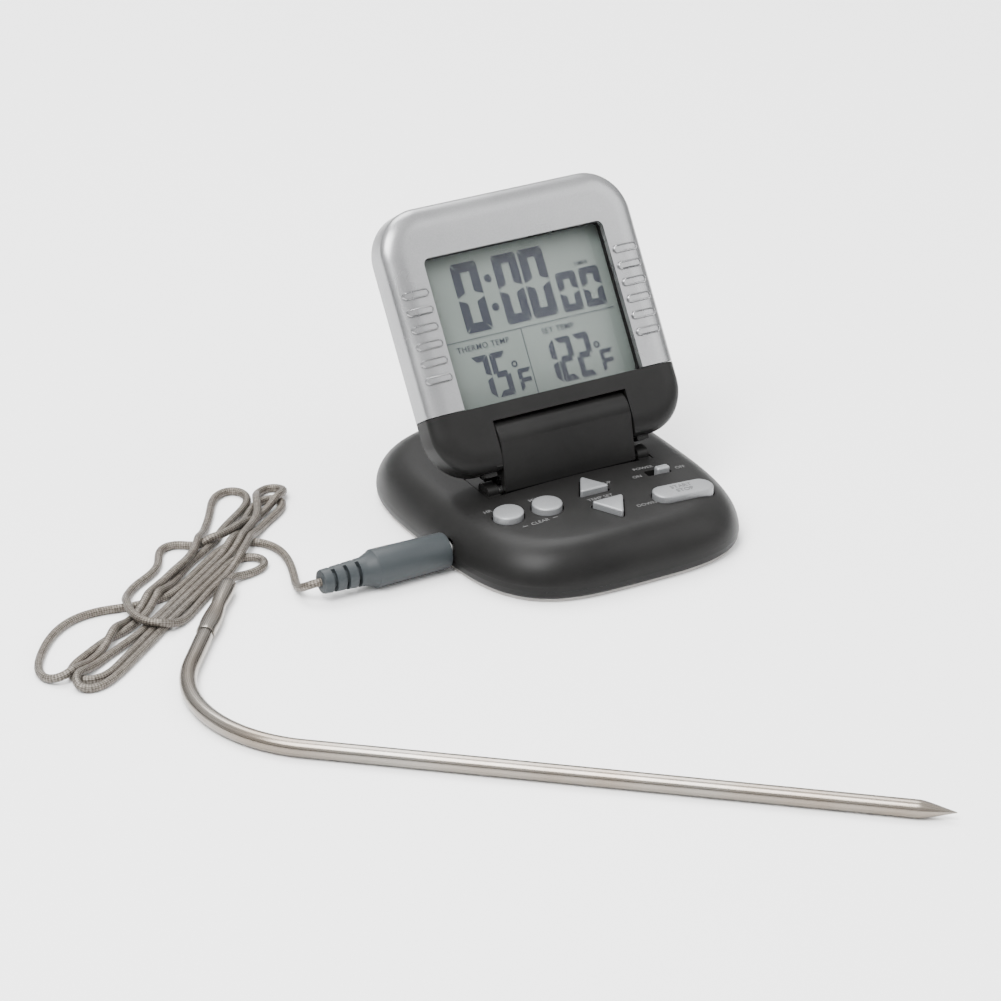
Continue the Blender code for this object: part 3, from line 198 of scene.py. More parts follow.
blackAbs = mouldedFinish("black_abs", (0.0050, 0.0049, 0.0048), (0.0100, 0.0098, 0.0095), 0.40, 5200.0,
                         0.2, Specular_IOR_Level=0.15)
darkMoulding = mouldedFinish("dark_moulding", (0.004, 0.004, 0.004), (0.008, 0.008, 0.008), 0.6, 4000.0, 0.2,
                             Specular_IOR_Level=0.15)
silverPaint = paintedFinish("silver_paint", (0.215, 0.217, 0.221), (0.300, 0.302, 0.307), 0.29, 0.82, 9000.0)
keyGrey = paintedFinish("key_grey", (0.175, 0.18, 0.185), (0.235, 0.24, 0.246), 0.36, 0.4, 8000.0)
plugGrey = mouldedFinish("plug_grey", (0.018, 0.0225, 0.025), (0.029, 0.0345, 0.0375), 0.5, 3800.0, 0.25,
                         Specular_IOR_Level=0.3)
padGrey = mouldedFinish("pad_grey", (0.30, 0.29, 0.28), (0.44, 0.42, 0.40), 0.85, 2600.0, 0.6)
keyRubber = mouldedFinish("key_rubber", (0.45, 0.46, 0.45), (0.58, 0.59, 0.58), 0.8, 1800.0, 0.3)
lcdGrey = mouldedFinish("lcd_grey", (0.165, 0.195, 0.180), (0.188, 0.218, 0.200), 0.42, 1500.0, 0.02)
lcdInk = mouldedFinish("lcd_ink", (0.012, 0.015, 0.027), (0.020, 0.024, 0.040), 0.45, 2500.0, 0.02)
lcdShade = mouldedFinish("lcd_shade", (0.125, 0.145, 0.136), (0.140, 0.160, 0.150), 0.5, 2500.0, 0.02)
labelInk = mouldedFinish("label_ink", (0.055, 0.055, 0.055), (0.095, 0.095, 0.095), 0.6, 3500.0, 0.1)
keyInk = mouldedFinish("key_ink", (0.060, 0.062, 0.065), (0.11, 0.112, 0.115), 0.5, 3500.0, 0.1)
boardGreen = mouldedFinish("board_green", (0.018, 0.10, 0.04), (0.035, 0.15, 0.07), 0.45, 900.0, 0.2)
screwSteel = steelFinish("screw_steel", (0.42, 0.42, 0.42), (0.62, 0.62, 0.61), 0.32)
contactBrass = steelFinish("contact_brass", (0.66, 0.52, 0.27), (0.82, 0.68, 0.38), 0.3)
probeSteel = steelFinish("probe_steel", (0.19, 0.175, 0.155), (0.31, 0.29, 0.262), 0.25, "UV",
                         (1.0, 0.02, 1.0), warm=(0.74, 0.64, 0.55))


def clearLensFinish():
    finish = Finish("clear_lens", Base_Color=(0.02, 0.022, 0.022), Metallic=0.0, IOR=1.49)
    smear = finish.noise(35.0, 3.0)
    finish.set(Roughness=finish.spread(smear, 0.04, 0.10), Alpha=finish.spread(smear, 0.10, 0.14))
    return finish.material


# Braided steel sleeve: two families of strands cross along the tube's own map.
def braidFinish():
    strands, pitch = 7.0, 800.0
    finish = Finish("steel_braid", Metallic=0.75)
    spot = finish.add("ShaderNodeTexCoord", output="UV")
    split = finish.add("ShaderNodeSeparateXYZ", {}, {0: spot})
    around = split * strands
    lengthwise = finish.add("ShaderNodeSeparateXYZ", {}, {0: spot}, output=1) * pitch
    left = ((around + lengthwise) * (2 * math.pi)).sine()
    right = ((around - lengthwise) * (2 * math.pi)).sine()
    weave = left * right * 0.5 + 0.5
    loose = finish.noise(1500.0, 3.0, 0.6)
    tone = weave * 0.6 + finish.spread(loose, 0.0, 1.0) * 0.4
    cloud = finish.spread(finish.noise(55.0, 3.0), 0.0, 0.6)
    color = finish.ramp(tone, [(0.0, (0.022, 0.019, 0.016)), (0.45, (0.105, 0.095, 0.082)),
                               (1.0, (0.27, 0.25, 0.225))])
    finish.set(Base_Color=finish.blend(cloud, color, (0.82, 0.74, 0.66, 1.0), "MULTIPLY"),
               Roughness=finish.spread(tone, 0.62, 0.38, 0.0, 1.0))
    finish.bump(weave, 0.7, 0.12)
    return finish.material


clearLens = clearLensFinish()
steelBraid = braidFinish()
print("finishes ready")


# Camera at the maker's three-quarter view, and soft light from a white room.
camera = {"lens": 150.94, "sensor": 36.0, "place": (-0.44494, -0.75206, 0.43605),
          "turn": (90.0 - 26.32, 0.0, -29.77)}


def setCamera():
    data = bpy.data.cameras.new("camera")
    data.sensor_width = camera["sensor"]
    data.lens = camera["lens"]
    data.clip_end = 20.0
    item = bpy.data.objects.new("camera", data)
    bpy.context.scene.collection.objects.link(item)
    item.location = camera["place"]
    item.rotation_euler = [math.radians(angle) for angle in camera["turn"]]
    bpy.context.scene.camera = item


setCamera()


# Pieces: shape is a bmesh in millimetres; carve works on it before it is placed.
def asObject(name, shape):
    bmesh.ops.recalc_face_normals(shape, faces=shape.faces)
    mesh = bpy.data.meshes.new(name)
    shape.to_mesh(mesh)
    shape.free()
    piece = bpy.data.objects.new(name, mesh)
    bpy.context.scene.collection.objects.link(piece)
    return piece


def carve(piece, operation, *shapes):
    for shape in shapes:
        tool = asObject("carving_tool", shape)
        modifier = piece.modifiers.new("carve", "BOOLEAN")
        modifier.operation = operation
        modifier.solver = "EXACT"
        modifier.object = tool
        bpy.context.view_layer.update()
        result = bpy.data.meshes.new_from_object(piece.evaluated_get(bpy.context.evaluated_depsgraph_get()))
        piece.modifiers.clear()
        result.name = piece.name
        piece.data = result
        bpy.data.objects.remove(tool)
    return piece


def settle(piece, body, material, replaced=(), place=None, sharp=32.0):
    mesh = piece.data
    mesh.transform(Matrix.Scale(mm, 4))
    if place is not None:
        mesh.transform(place)
    mesh.materials.clear()
    mesh.materials.append(material)
    mesh.shade_smooth()
    mesh.set_sharp_from_angle(angle=math.radians(sharp))
    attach(piece, body)
    if replaced:
        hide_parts(*replaced)
    return piece


def topFace(shape):
    return max(shape.faces, key=lambda face: (face.calc_center_median().z, face.calc_area()))


def vertsOf(items):
    return [item for item in items if isinstance(item, bmesh.types.BMVert)]


def extrudeRing(shape, edges):
    # extrudes a ring in place and gives the new ring's vertices and edges
    grown = bmesh.ops.extrude_edge_only(shape, edges=edges)["geom"]
    ring = vertsOf(grown)
    inRing = set(ring)
    return ring, [item for item in grown if isinstance(item, bmesh.types.BMEdge)
                  and all(vertex in inRing for vertex in item.verts)]


def thicken(shape, height, keep=False):
    grown = bmesh.ops.extrude_face_region(shape, geom=shape.faces[:], use_keep_orig=keep)["geom"]
    bmesh.ops.translate(shape, verts=vertsOf(grown), vec=(0, 0, height))


def flatOutline(corners, radius=0.0, segments=10):
    shape = bmesh.new()
    points = [shape.verts.new((x, y, 0.0)) for x, y in corners]
    shape.faces.new(points)
    if radius > 0:
        bmesh.ops.bevel(shape, geom=points, offset=radius, offset_type="OFFSET", segments=segments,
                        profile=0.5, affect="VERTICES", material=-1)
    return shape


def slab(corners, radius, low, high, segments=10):
    shape = moved(flatOutline(corners, radius, segments), 0, 0, low)
    thicken(shape, high - low)
    return shape


def boxCorners(halfX, halfY, center=(0.0, 0.0)):
    return [(center[0] + signX * halfX, center[1] + signY * halfY)
            for signX, signY in ((-1, -1), (1, -1), (1, 1), (-1, 1))]


def plainBox(low, high):
    corners = [(low[0], low[1]), (high[0], low[1]), (high[0], high[1]), (low[0], high[1])]
    return slab(corners, 0.0, low[2], high[2])


def stepIn(shape, thickness, depth):
    bmesh.ops.inset_region(shape, faces=[topFace(shape)], thickness=thickness, depth=depth,
                           use_even_offset=True)


def roundOver(shape, width, depth, steps=8):
    # the top face is stepped in and up along a quarter ellipse
    inside, up = 0.0, 0.0
    for step in range(1, steps + 1):
        angle = math.pi / 2 * step / steps
        nextIn, nextUp = width * (1 - math.cos(angle)), depth * math.sin(angle)
        stepIn(shape, nextIn - inside, nextUp - up)
        inside, up = nextIn, nextUp
    return shape


def turned(profile, steps=64):
    # profile of (radius, along) pairs spun round Z
    shape = bmesh.new()
    points = [shape.verts.new((radius, 0.0, along)) for radius, along in profile]
    edges = [shape.edges.new(pair) for pair in zip(points, points[1:])]
    bmesh.ops.spin(shape, geom=points + edges, cent=(0, 0, 0), axis=(0, 0, 1), angle=2 * math.pi,
                   steps=steps, use_merge=True)
    bmesh.ops.remove_doubles(shape, verts=shape.verts, dist=1e-4)
    bmesh.ops.holes_fill(shape, edges=[edge for edge in shape.edges if edge.is_boundary])
    return shape


def rod(radius, low, high, steps=32):
    return turned([(radius, low), (radius, high)], steps)


def along(shape, axis):
    # lays a shape made along Z on the X or the Y axis
    turn = Matrix.Rotation(math.pi / 2, 3, "Y") if axis == "X" else Matrix.Rotation(-math.pi / 2, 3, "X")
    bmesh.ops.rotate(shape, cent=(0, 0, 0), matrix=turn, verts=shape.verts)
    return shape


def post(radius, low, high, segments=48):
    shape = bmesh.new()
    bmesh.ops.create_cone(shape, cap_ends=True, segments=segments, radius1=radius, radius2=radius,
                          depth=high - low)
    return moved(shape, 0.0, 0.0, (high + low) / 2)


def moved(shape, x, y, z):
    bmesh.ops.translate(shape, verts=shape.verts, vec=(x, y, z))
    return shape


def retouch(material, slotName, *names):
    for name in names:
        node = nodes[name]
        node.data.materials.clear()
        node.data.materials.append(material)
        node.data.shade_smooth()


# The lead: its route is listed, then settles so that no strand lies in another.
lead = {"radius": 0.95, "step": 1.9, "fineStep": 1.0, "sides": 20, "length": 800.0,
        "settling": 140, "unbend": 0.22, "hold": 0.01, "fall": 0.03, "slack": 0.05, "give": 0.65}
plugLow, plugHigh = boxMm("plug_grip")
leadExit = (plugLow.x, (plugLow.y + plugHigh.y) / 2, (plugLow.z + plugHigh.z) / 2)
leadRoute = [
    (-67.1, -10.8, 4.65), (-68.4, -10.75, 4.6), (-69.6, -10.0, 4.4), (-70.0, -8.4, 4.2), (-69.3, -5.0, 3.7),
    (-67.8, 0.0, 3.0), (-66.2, 5.0, 2.4),
    (-65.3, 10.8, 1.8), (-65.5, 16.3, 1.3), (-66.8, 20.6, 1.0), (-69.2, 23.3, 1.0), (-73.0, 22.0, 1.0),
    (-77.0, 19.5, 1.0), (-85.5, 14.0, 1.0), (-93.5, 8.5, 1.0), (-101.0, 6.0, 1.0), (-107.0, 6.5, 1.0),
    (-111.0, 7.5, 1.0), (-116.0, 8.0, 1.0), (-121.5, 6.0, 1.0), (-126.5, 2.5, 1.0), (-130.5, -2.0, 1.0),
    (-133.5, -7.0, 1.0), (-135.0, -12.0, 1.0), (-135.5, -16.0, 1.0), (-134.5, -18.0, 1.2),
    (-132.0, -18.0, 2.2), (-128.0, -15.5, 2.8), (-122.0, -10.5, 2.8), (-116.0, -5.5, 2.8),
    (-109.5, -1.0, 2.8), (-102.5, 4.5, 2.8), (-95.0, 11.0, 2.8), (-89.0, 15.0, 3.8), (-84.0, 19.5, 4.5),
    (-77.0, 29.5, 3.0), (-69.0, 40.0, 1.4), (-63.5, 46.5, 1.0), (-60.0, 48.0, 1.0), (-59.2, 45.5, 1.0),
    (-60.5, 41.0, 1.0), (-63.5, 37.0, 1.0), (-70.0, 31.5, 1.0), (-77.5, 25.5, 1.0), (-84.5, 19.5, 1.0),
    (-92.0, 13.0, 1.0), (-99.0, 6.5, 1.6), (-106.0, 0.5, 2.8), (-112.0, -2.5, 1.6), (-118.0, -6.5, 1.0),
    (-123.5, -10.5, 1.0), (-128.0, -14.0, 1.0), (-130.5, -16.5, 1.0), (-130.5, -20.0, 1.0),
    (-127.5, -20.5, 1.0), (-122.5, -18.5, 1.0), (-116.0, -14.0, 1.0), (-109.0, -8.5, 1.0),
    (-102.0, -2.5, 1.0), (-94.5, 3.5, 1.4), (-87.5, 9.0, 2.8), (-80.5, 13.5, 4.5), (-71.5, 22.0, 4.5),
    (-62.5, 31.5, 3.4), (-55.5, 40.0, 2.4), (-52.4, 44.4, 2.4), (-50.6, 44.6, 2.0), (-50.8, 42.0, 1.6),
    (-53.5, 38.5, 2.2), (-59.0, 33.5, 2.8), (-66.0, 29.5, 2.8), (-72.0, 26.0, 2.8), (-78.0, 24.0, 2.8),
    (-81.5, 25.0, 2.0), (-83.5, 27.5, 1.0), (-85.0, 29.5, 1.0), (-86.5, 28.5, 1.0), (-88.0, 25.0, 1.0),
    (-91.5, 20.5, 1.0), (-96.0, 18.0, 1.0), (-100.5, 15.0, 1.0), (-104.5, 11.0, 1.4), (-107.5, 4.5, 2.8),
    (-108.0, -2.5, 4.5), (-107.0, -6.0, 4.7), (-104.0, -7.4, 4.7), (-99.5, -5.6, 4.2), (-93.0, -0.6, 3.2),
    (-87.0, 4.4, 2.8), (-80.5, 9.9, 2.8), (-73.5, 16.3, 2.8), (-66.0, 23.7, 1.8), (-59.0, 31.0, 1.0),
    (-54.6, 35.8, 1.0), (-53.0, 38.0, 1.0), (-54.0, 39.8, 1.0), (-57.5, 37.5, 1.2), (-63.5, 31.0, 2.0),
    (-72.0, 23.0, 2.8), (-80.0, 16.0, 2.8), (-87.5, 9.5, 2.8), (-95.0, 3.5, 2.8), (-102.0, -1.5, 2.8),
    (-108.0, -5.5, 2.8), (-114.0, -9.0, 2.8), (-120.0, -12.0, 2.8), (-126.0, -15.6, 2.8),
    (-130.8, -18.5, 2.8), (-132.5, -21.5, 2.4), (-130.5, -23.0, 1.8), (-126.5, -22.0, 1.2),
    (-120.5, -19.0, 1.0), (-113.0, -14.0, 1.0), (-105.5, -8.0, 1.0), (-98.0, -1.5, 1.0),
    (-91.5, 4.0, 1.0), (-85.0, 9.0, 1.0), (-79.0, 12.5, 1.0), (-74.0, 14.5, 1.0), (-70.6, 13.6, 1.0),
    (-70.0, 10.8, 1.4), (-72.5, 8.2, 1.8), (-76.0, 7.8, 1.8), (-79.5, 6.9, 2.0), (-81.3, 5.6, 2.1),
    (-82.9, 3.5, 2.1),
]


def evenRoute(points, step):
    # smooth curve through the points, then points a step apart along it
    points = np.array(points, float)
    padded = np.vstack([2 * points[0] - points[1], points, 2 * points[-1] - points[-2]])
    fine = []
    for a, b, c, d in zip(padded, padded[1:], padded[2:], padded[3:]):
        for t in np.linspace(0.0, 1.0, 12, endpoint=False):
            fine.append(0.5 * (2 * b + (c - a) * t + (2 * a - 5 * b + 4 * c - d) * t * t
                               + (3 * b - a - 3 * c + d) * t ** 3))
    fine = np.array(fine + [points[-1]])
    run = np.r_[0.0, np.cumsum(np.linalg.norm(np.diff(fine, axis=0), axis=1))]
    spots = np.linspace(0.0, run[-1], int(run[-1] / step) + 1)
    return np.stack([np.interp(spots, run, fine[:, axis]) for axis in range(3)], 1)


def settleRoute(points, radius, rounds):
    # stiffness keeps the bends round, neighbours push apart, gravity lays it down
    start = points.copy()
    rest = np.linalg.norm(np.diff(points, axis=0), axis=1).mean()
    near = int(math.pi * radius * 1.6 / rest) + 2  # neighbours along the lead don't push
    index = np.arange(len(points))
    apart = np.abs(index[:, None] - index[None, :]) > near
    free = np.ones((len(points), 1))
    free[:2] = 0.0
    free[-2:] = 0.0
    for turn in range(rounds):
        for again in range(5):
            bend = np.zeros_like(points)
            bend[1:-1] = (points[:-2] + points[2:]) / 2 - points[1:-1]
            bend[2:-2] = (bend[1:-3] + bend[3:-1]) / 2 - bend[2:-2]
            points = points - lead["unbend"] * bend * free
        home = (start - points) * [lead["hold"], lead["hold"], 0.0]
        points = points + (home + [0.0, 0.0, -lead["fall"]]) * free
        for again in range(3):
            offset = points[:, None, :] - points[None, :, :]
            distance = np.sqrt((offset ** 2).sum(2)) + 1e-9
            push = np.where(apart, np.clip(2 * radius + lead["slack"] - distance, 0.0, None), 0.0)
            touching = np.maximum((push > 0).sum(1), 1)[:, None]
            shove = (offset / distance[:, :, None] * push[:, :, None]).sum(1) / touching
            points = points + shove * lead["give"] * free
            for first in (0, 1):
                # every second link is drawn back to its own length
                heads, tails = points[first:-1:2], points[first + 1::2]
                heads, tails = heads[:len(tails)], tails[:len(heads)]
                gap = tails - heads
                change = gap * (1 - rest / np.linalg.norm(gap, axis=1, keepdims=True)) * 0.5
                headRows = slice(first, first + 2 * len(heads), 2)
                tailRows = slice(first + 1, first + 1 + 2 * len(heads), 2)
                points[headRows] += change * free[headRows]
                points[tailRows] -= change * free[tailRows]
            points[:, 2] = np.maximum(points[:, 2], radius + 0.02)
    return points


def tubeAlong(path, radii, sides):
    # a ring is extruded and turned from each place on the path to the next
    path = [Vector(point) for point in path]
    last = len(path) - 1
    tangents = [(path[min(i + 1, last)] - path[max(i - 1, 0)]).normalized() for i in range(len(path))]
    side = tangents[0].cross(Vector((0, 0, 1))).normalized()
    seats = []
    for point, tangent in zip(path, tangents):
        side = (side - tangent * side.dot(tangent)).normalized()
        seat = Matrix((side, tangent.cross(side), tangent)).transposed().to_4x4()
        seat.translation = point
        seats.append(seat)
    shape = bmesh.new()
    ringLayer = shape.verts.layers.int.new("ring")
    bmesh.ops.create_circle(shape, cap_ends=True, segments=sides, radius=1.0)
    bmesh.ops.transform(shape, matrix=seats[0] @ Matrix.Diagonal((radii[0], radii[0], 1.0, 1.0)),
                        verts=shape.verts)
    edges = shape.edges[:]
    for i in range(1, len(seats)):
        ring, edges = extrudeRing(shape, edges)
        scale = radii[i] / radii[i - 1]
        change = seats[i] @ Matrix.Diagonal((scale, scale, 1.0, 1.0)) @ seats[i - 1].inverted()
        bmesh.ops.transform(shape, matrix=change, verts=ring)
        for vertex in ring:
            vertex[ringLayer] = i
    bmesh.ops.edgeloop_fill(shape, edges=edges)
    lengths = [0.0]
    for before, after in zip(path, path[1:]):
        lengths.append(lengths[-1] + (after - before).length * mm)
    mapLayer = shape.loops.layers.uv.new("UVMap")
    backs = [seat.inverted() for seat in seats]
    for face in shape.faces:
        turns = []
        for loop in face.loops:
            local = backs[loop.vert[ringLayer]] @ loop.vert.co
            turns.append((math.atan2(local.y, local.x) / (2 * math.pi)) % 1.0)
        wraps = max(turns) - min(turns) > 0.5
        for loop, turn in zip(face.loops, turns):
            loop[mapLayer].uv = (turn + 1.0 if wraps and turn < 0.5 else turn,
                                 lengths[loop.vert[ringLayer]])
    return shape


def makeLead(sleeve):
    path = settleRoute(evenRoute(leadRoute, lead["step"]), lead["radius"] - 0.02, lead["settling"])
    path = evenRoute(path, lead["fineStep"])
    shape = tubeAlong(path, [lead["radius"]] * len(path), lead["sides"])
    cordPiece = settle(asObject("braided_lead", shape), "lead", steelBraid,
                       ("cord_lead", "cord_hank", "cord_tail"), sharp=60.0)
    length = float(np.linalg.norm(np.diff(path, axis=0), axis=1).sum()) * mm
    print("lead length", round(length, 3))
    (path * mm).tolist()


# Base: superellipse outline stretched up over a rounded shoulder to a low dome.
coverLow, coverHigh = boxMm("base_top_cover")
shellLow, shellHigh = boxMm("base_bottom_shell")
base = {"halfWidth": coverHigh.x + 0.1, "halfDepth": coverHigh.y + 0.1, "roundness": 3.5, "segments": 176,
        "crown": 13.5, "fallX": 0.0014, "fallY": 0.0008, "shoulder": 7.9, "wall": 1.3,
        "recessX": 22.0, "recessFront": -7.5, "recessRear": 4.6, "recessFloor": 8.6,
        "keyFit": 0.33, "keyWell": 7.4, "slot": (3.2, 1.25, (18.8, -14.4)), "slotFloor": 8.3,
        "jackY": leadExit[1], "jackZ": leadExit[2], "jackRadius": 2.55,
        "doorRadius": 13.85, "screwHead": 2.2, "screwShaft": 1.2}
openTop = base["crown"] + 4.0  # cuts from above start here


def crownAt(x, y):
    return base["crown"] - base["fallX"] * x * x - base["fallY"] * y * y


def baseRing(shape, inset, height):
    bmesh.ops.create_circle(shape, cap_ends=True, segments=base["segments"], radius=1.0)
    power = 2.0 / base["roundness"]
    for vertex in shape.verts:
        x, y = vertex.co.x, vertex.co.y
        vertex.co = (math.copysign(abs(x) ** power, x) * (base["halfWidth"] - inset),
                     math.copysign(abs(y) ** power, y) * (base["halfDepth"] - inset), height)
    return shape.edges[:]


def growRing(shape, edges, fromInset, toInset, height):
    ring, edges = extrudeRing(shape, edges)
    scale = ((base["halfWidth"] - toInset) / (base["halfWidth"] - fromInset),
             (base["halfDepth"] - toInset) / (base["halfDepth"] - fromInset), 1.0)
    bmesh.ops.scale(shape, vec=scale, verts=ring)
    for vertex in ring:
        vertex.co.z = height(vertex.co.x, vertex.co.y) if callable(height) else height
    return edges


def arrowOutline(center, width, height, grow):
    # isosceles triangle grown evenly on all sides, about the middle of its inscribed circle
    tall = abs(height)
    inscribed = width * tall / (width + 2 * math.hypot(width / 2, tall))
    scale = (inscribed + grow) / inscribed
    sign = math.copysign(1.0, height)
    middle = center[1] - height / 2 + sign * inscribed
    corners = [(center[0] - width / 2, -inscribed), (center[0] + width / 2, -inscribed),
               (center[0], tall - inscribed)]
    corners = [(center[0] + (x - center[0]) * scale, middle + sign * y * scale) for x, y in corners]
    return corners if sign > 0 else corners[::-1]


keys = {
    "key_round_left": {"center": (-22.4, -17.0), "radius": 3.5, "body": "round_key_left"},
    "key_round_right": {"center": (-13.0, -18.2), "radius": 3.5, "body": "round_key_right"},
    "key_up": {"center": (0.0, -14.3), "width": 7.9, "height": 6.7, "radius": 1.0, "body": "up_key"},
    "key_down": {"center": (0.0, -26.5), "width": 8.5, "height": -7.5, "radius": 1.0, "body": "down_key"},
    "key_start_stop": {"center": (18.3, -26.1), "radius": 2.9, "run": 4.8, "body": "start_stop_key"},
}


def keyBody(key, grow, low, high):
    cx, cy = key["center"]
    radius = key["radius"] + grow
    if "width" in key:
        return slab(arrowOutline(key["center"], key["width"], key["height"], grow), radius, low, high, 8)
    if "run" in key:
        # just short of full round ends, so that the edge can still be rounded over
        return slab(boxCorners(key["run"] + radius, radius, key["center"]), radius - 0.12, low, high, 14)
    return moved(post(radius, low, high, 56), cx, cy, 0.0)


def jackBore():
    return moved(along(rod(base["jackRadius"], -4.0, 5.0, 48), "X"), shellLow.x, base["jackY"], base["jackZ"])


def makeCover():
    seam = coverLow.z
    shape = bmesh.new()
    edges = baseRing(shape, 0.55, seam + 0.02)
    edges = growRing(shape, edges, 0.55, 0.02, seam + 0.34)
    inset, steps, foot = 0.02, 16, seam + 0.28
    for step in range(1, steps + 1):
        turn = math.pi / 2 * step / steps
        toInset = base["shoulder"] * (1 - math.cos(turn)) + 0.02
        edges = growRing(shape, edges, inset, toInset,
                         lambda x, y: foot + (crownAt(x, y) - foot) * math.sin(turn))
        inset = toInset
    for toInset in (10.0, 12.5, 15.5, 19.0, 23.0, 27.0, 31.0, 34.0):
        edges = growRing(shape, edges, inset, toInset, crownAt)
        inset = toInset
    bmesh.ops.edgeloop_fill(shape, edges=edges)
    cover = asObject("base_cover_fine", shape)

    hollow = bmesh.new()
    edges = baseRing(hollow, base["wall"] + 0.3, seam - 1.0)
    edges = growRing(hollow, edges, base["wall"] + 0.3, base["wall"] + 0.3, seam + 1.4)
    edges = growRing(hollow, edges, base["wall"] + 0.3, 3.4, seam + 3.0)
    bmesh.ops.edgeloop_fill(hollow, edges=edges)
    recess = plainBox((-base["recessX"], base["recessFront"], base["recessFloor"]),
                      (base["recessX"], base["recessRear"], openTop))
    wells = [keyBody(key, base["keyFit"], base["keyWell"], openTop) for key in keys.values()]
    slot = slab(boxCorners(*base["slot"]), 0.4, base["slotFloor"], openTop, 5)
    carve(cover, "DIFFERENCE", hollow, recess, *wells, slot, jackBore())
    return settle(cover, "base", blackAbs, ("base_top_cover",), sharp=30.0)


def makeBottomShell():
    seam = shellHigh.z
    shape = bmesh.new()
    edges = baseRing(shape, 1.0, shellLow.z)
    inset = 1.0
    for toInset, height in ((0.62, shellLow.z + 0.08), (0.34, shellLow.z + 0.35), (0.16, shellLow.z + 0.8),
                            (0.1, seam - 0.32), (0.36, seam - 0.04), (1.3, seam), (1.6, shellLow.z + 1.3)):
        edges = growRing(shape, edges, inset, toInset, height)
        inset = toInset
    bmesh.ops.edgeloop_fill(shape, edges=edges)
    shell = asObject("base_shell_fine", shape)
    opening = moved(rod(base["doorRadius"], -2.0, 4.0, 96), *middleMm("battery_door"), 0.0)
    holes = []
    for name in ("front_left", "front_right", "rear_left", "rear_right"):
        place = middleMm("base_screw_" + name)
        holes.append(moved(rod(base["screwHead"], -1.0, 1.9), *place, 0.0))
        holes.append(moved(rod(base["screwShaft"], -1.0, 4.0, 24), *place, 0.0))
    carve(shell, "DIFFERENCE", jackBore(), opening, *holes)
    return settle(shell, "base", blackAbs, ("base_bottom_shell",), sharp=35.0)


makeCover()
makeBottomShell()


# Keys: each stands a little above the dome, with a soft edge and a faintly hollow top.
keyProud = 1.4


def makeKeys():
    for name, key in keys.items():
        cx, cy = key["center"]
        height = crownAt(cx, cy) + keyProud
        shape = keyBody(key, 0.0, 8.6, height - 0.38)
        roundOver(shape, 0.42, 0.38, 6)
        if "width" not in key:
            stepIn(shape, 0.9, 0.06)
        for vertex in shape.verts:
            if vertex.co.z > 10.0:  # the top follows the dome, the foot stays flat
                vertex.co.z += crownAt(vertex.co.x, vertex.co.y) - crownAt(cx, cy)
        settle(asObject(name + "_fine", shape), key["body"], keyGrey, (name,), sharp=40.0)


def makeKnob():
    low, high = boxMm("switch_knob")
    middle = middleMm("switch_knob")
    corners = boxCorners((high.x - low.x) / 2, (high.y - low.y) / 2, middle)
    shape = slab(corners, 0.5, low.z + 1.2, high.z - 0.45, 6)
    roundOver(shape, 0.45, 0.45, 5)
    knob = asObject("switch_knob_fine", shape)
    carve(knob, "UNION", slab(boxCorners(1.2, 0.6, middle), 0.2, low.z, low.z + 1.4, 4))
    return settle(knob, "slide_switch", keyGrey, ("switch_knob",), sharp=40.0)


makeKeys()
makeKnob()
print("base ready")


# Printed marks: generic words only, laid on the surface they are printed on.
def words(text, size, spacing=1.0):
    curve = bpy.data.curves.new("words", "FONT")
    curve.body = text
    curve.size = size
    curve.align_x = "CENTER"
    curve.align_y = "CENTER"
    curve.space_character = spacing
    curve.resolution_u = 4
    curve.offset = size * 0.006
    item = bpy.data.objects.new("words", curve)
    bpy.context.scene.collection.objects.link(item)
    bpy.context.view_layer.update()
    mesh = bpy.data.meshes.new_from_object(item.evaluated_get(bpy.context.evaluated_depsgraph_get()))
    bpy.data.objects.remove(item)
    shape = bmesh.new()
    shape.from_mesh(mesh)
    bpy.data.meshes.remove(mesh)
    return shape


def joined(shapes):
    whole = bmesh.new()
    for shape in shapes:
        mesh = bpy.data.meshes.new("part")
        shape.to_mesh(mesh)
        shape.free()
        whole.from_mesh(mesh)
        bpy.data.meshes.remove(mesh)
    return whole


def inked(name, shapes, surface, body, material, thickness=0.03, place=None):
    # flat marks are dropped on the surface, then given a hair of thickness
    whole = joined(shapes)
    bmesh.ops.remove_doubles(whole, verts=whole.verts, dist=1e-5)
    for vertex in whole.verts:
        vertex.co.z = surface(vertex.co.x, vertex.co.y) - 0.02
    thicken(whole, thickness + 0.02, True)
    return settle(asObject(name, whole), body, material, place=place, sharp=30.0)


def dash(x, y, length):
    return moved(flatOutline(boxCorners(length / 2, 0.09)), x, y, 0.0)


baseMarks = [("HR", (-25.2, -12.4)), ("MIN", (-13.6, -13.3)), ("CLEAR", (-17.5, -22.9)),
             ("UP", (5.2, -14.4)), ("TEMP SET", (0.0, -20.0)), ("DOWN", (7.9, -27.4)),
             ("ON", (13.0, -14.8)), ("OFF", (25.0, -14.2)), ("POWER", (16.6, -11.4))]


def makeMarks():
    shapes = [moved(words(text, 1.55), x, y, 0.0) for text, (x, y) in baseMarks]
    shapes += [dash(-21.4, -22.9, 1.3), dash(-13.6, -22.9, 1.3)]
    inked("base_marks", shapes, crownAt, "base", labelInk)
    cx, cy = middleMm("key_start_stop")
    keyWords = [moved(words("START", 1.9), cx, cy + 0.95, 0.0), moved(words("STOP", 1.9), cx, cy - 0.95, 0.0)]
    inked("key_words", keyWords,
          lambda x, y: crownAt(x, y) + keyProud + 0.06, "start_stop_key", keyInk)


makeMarks()


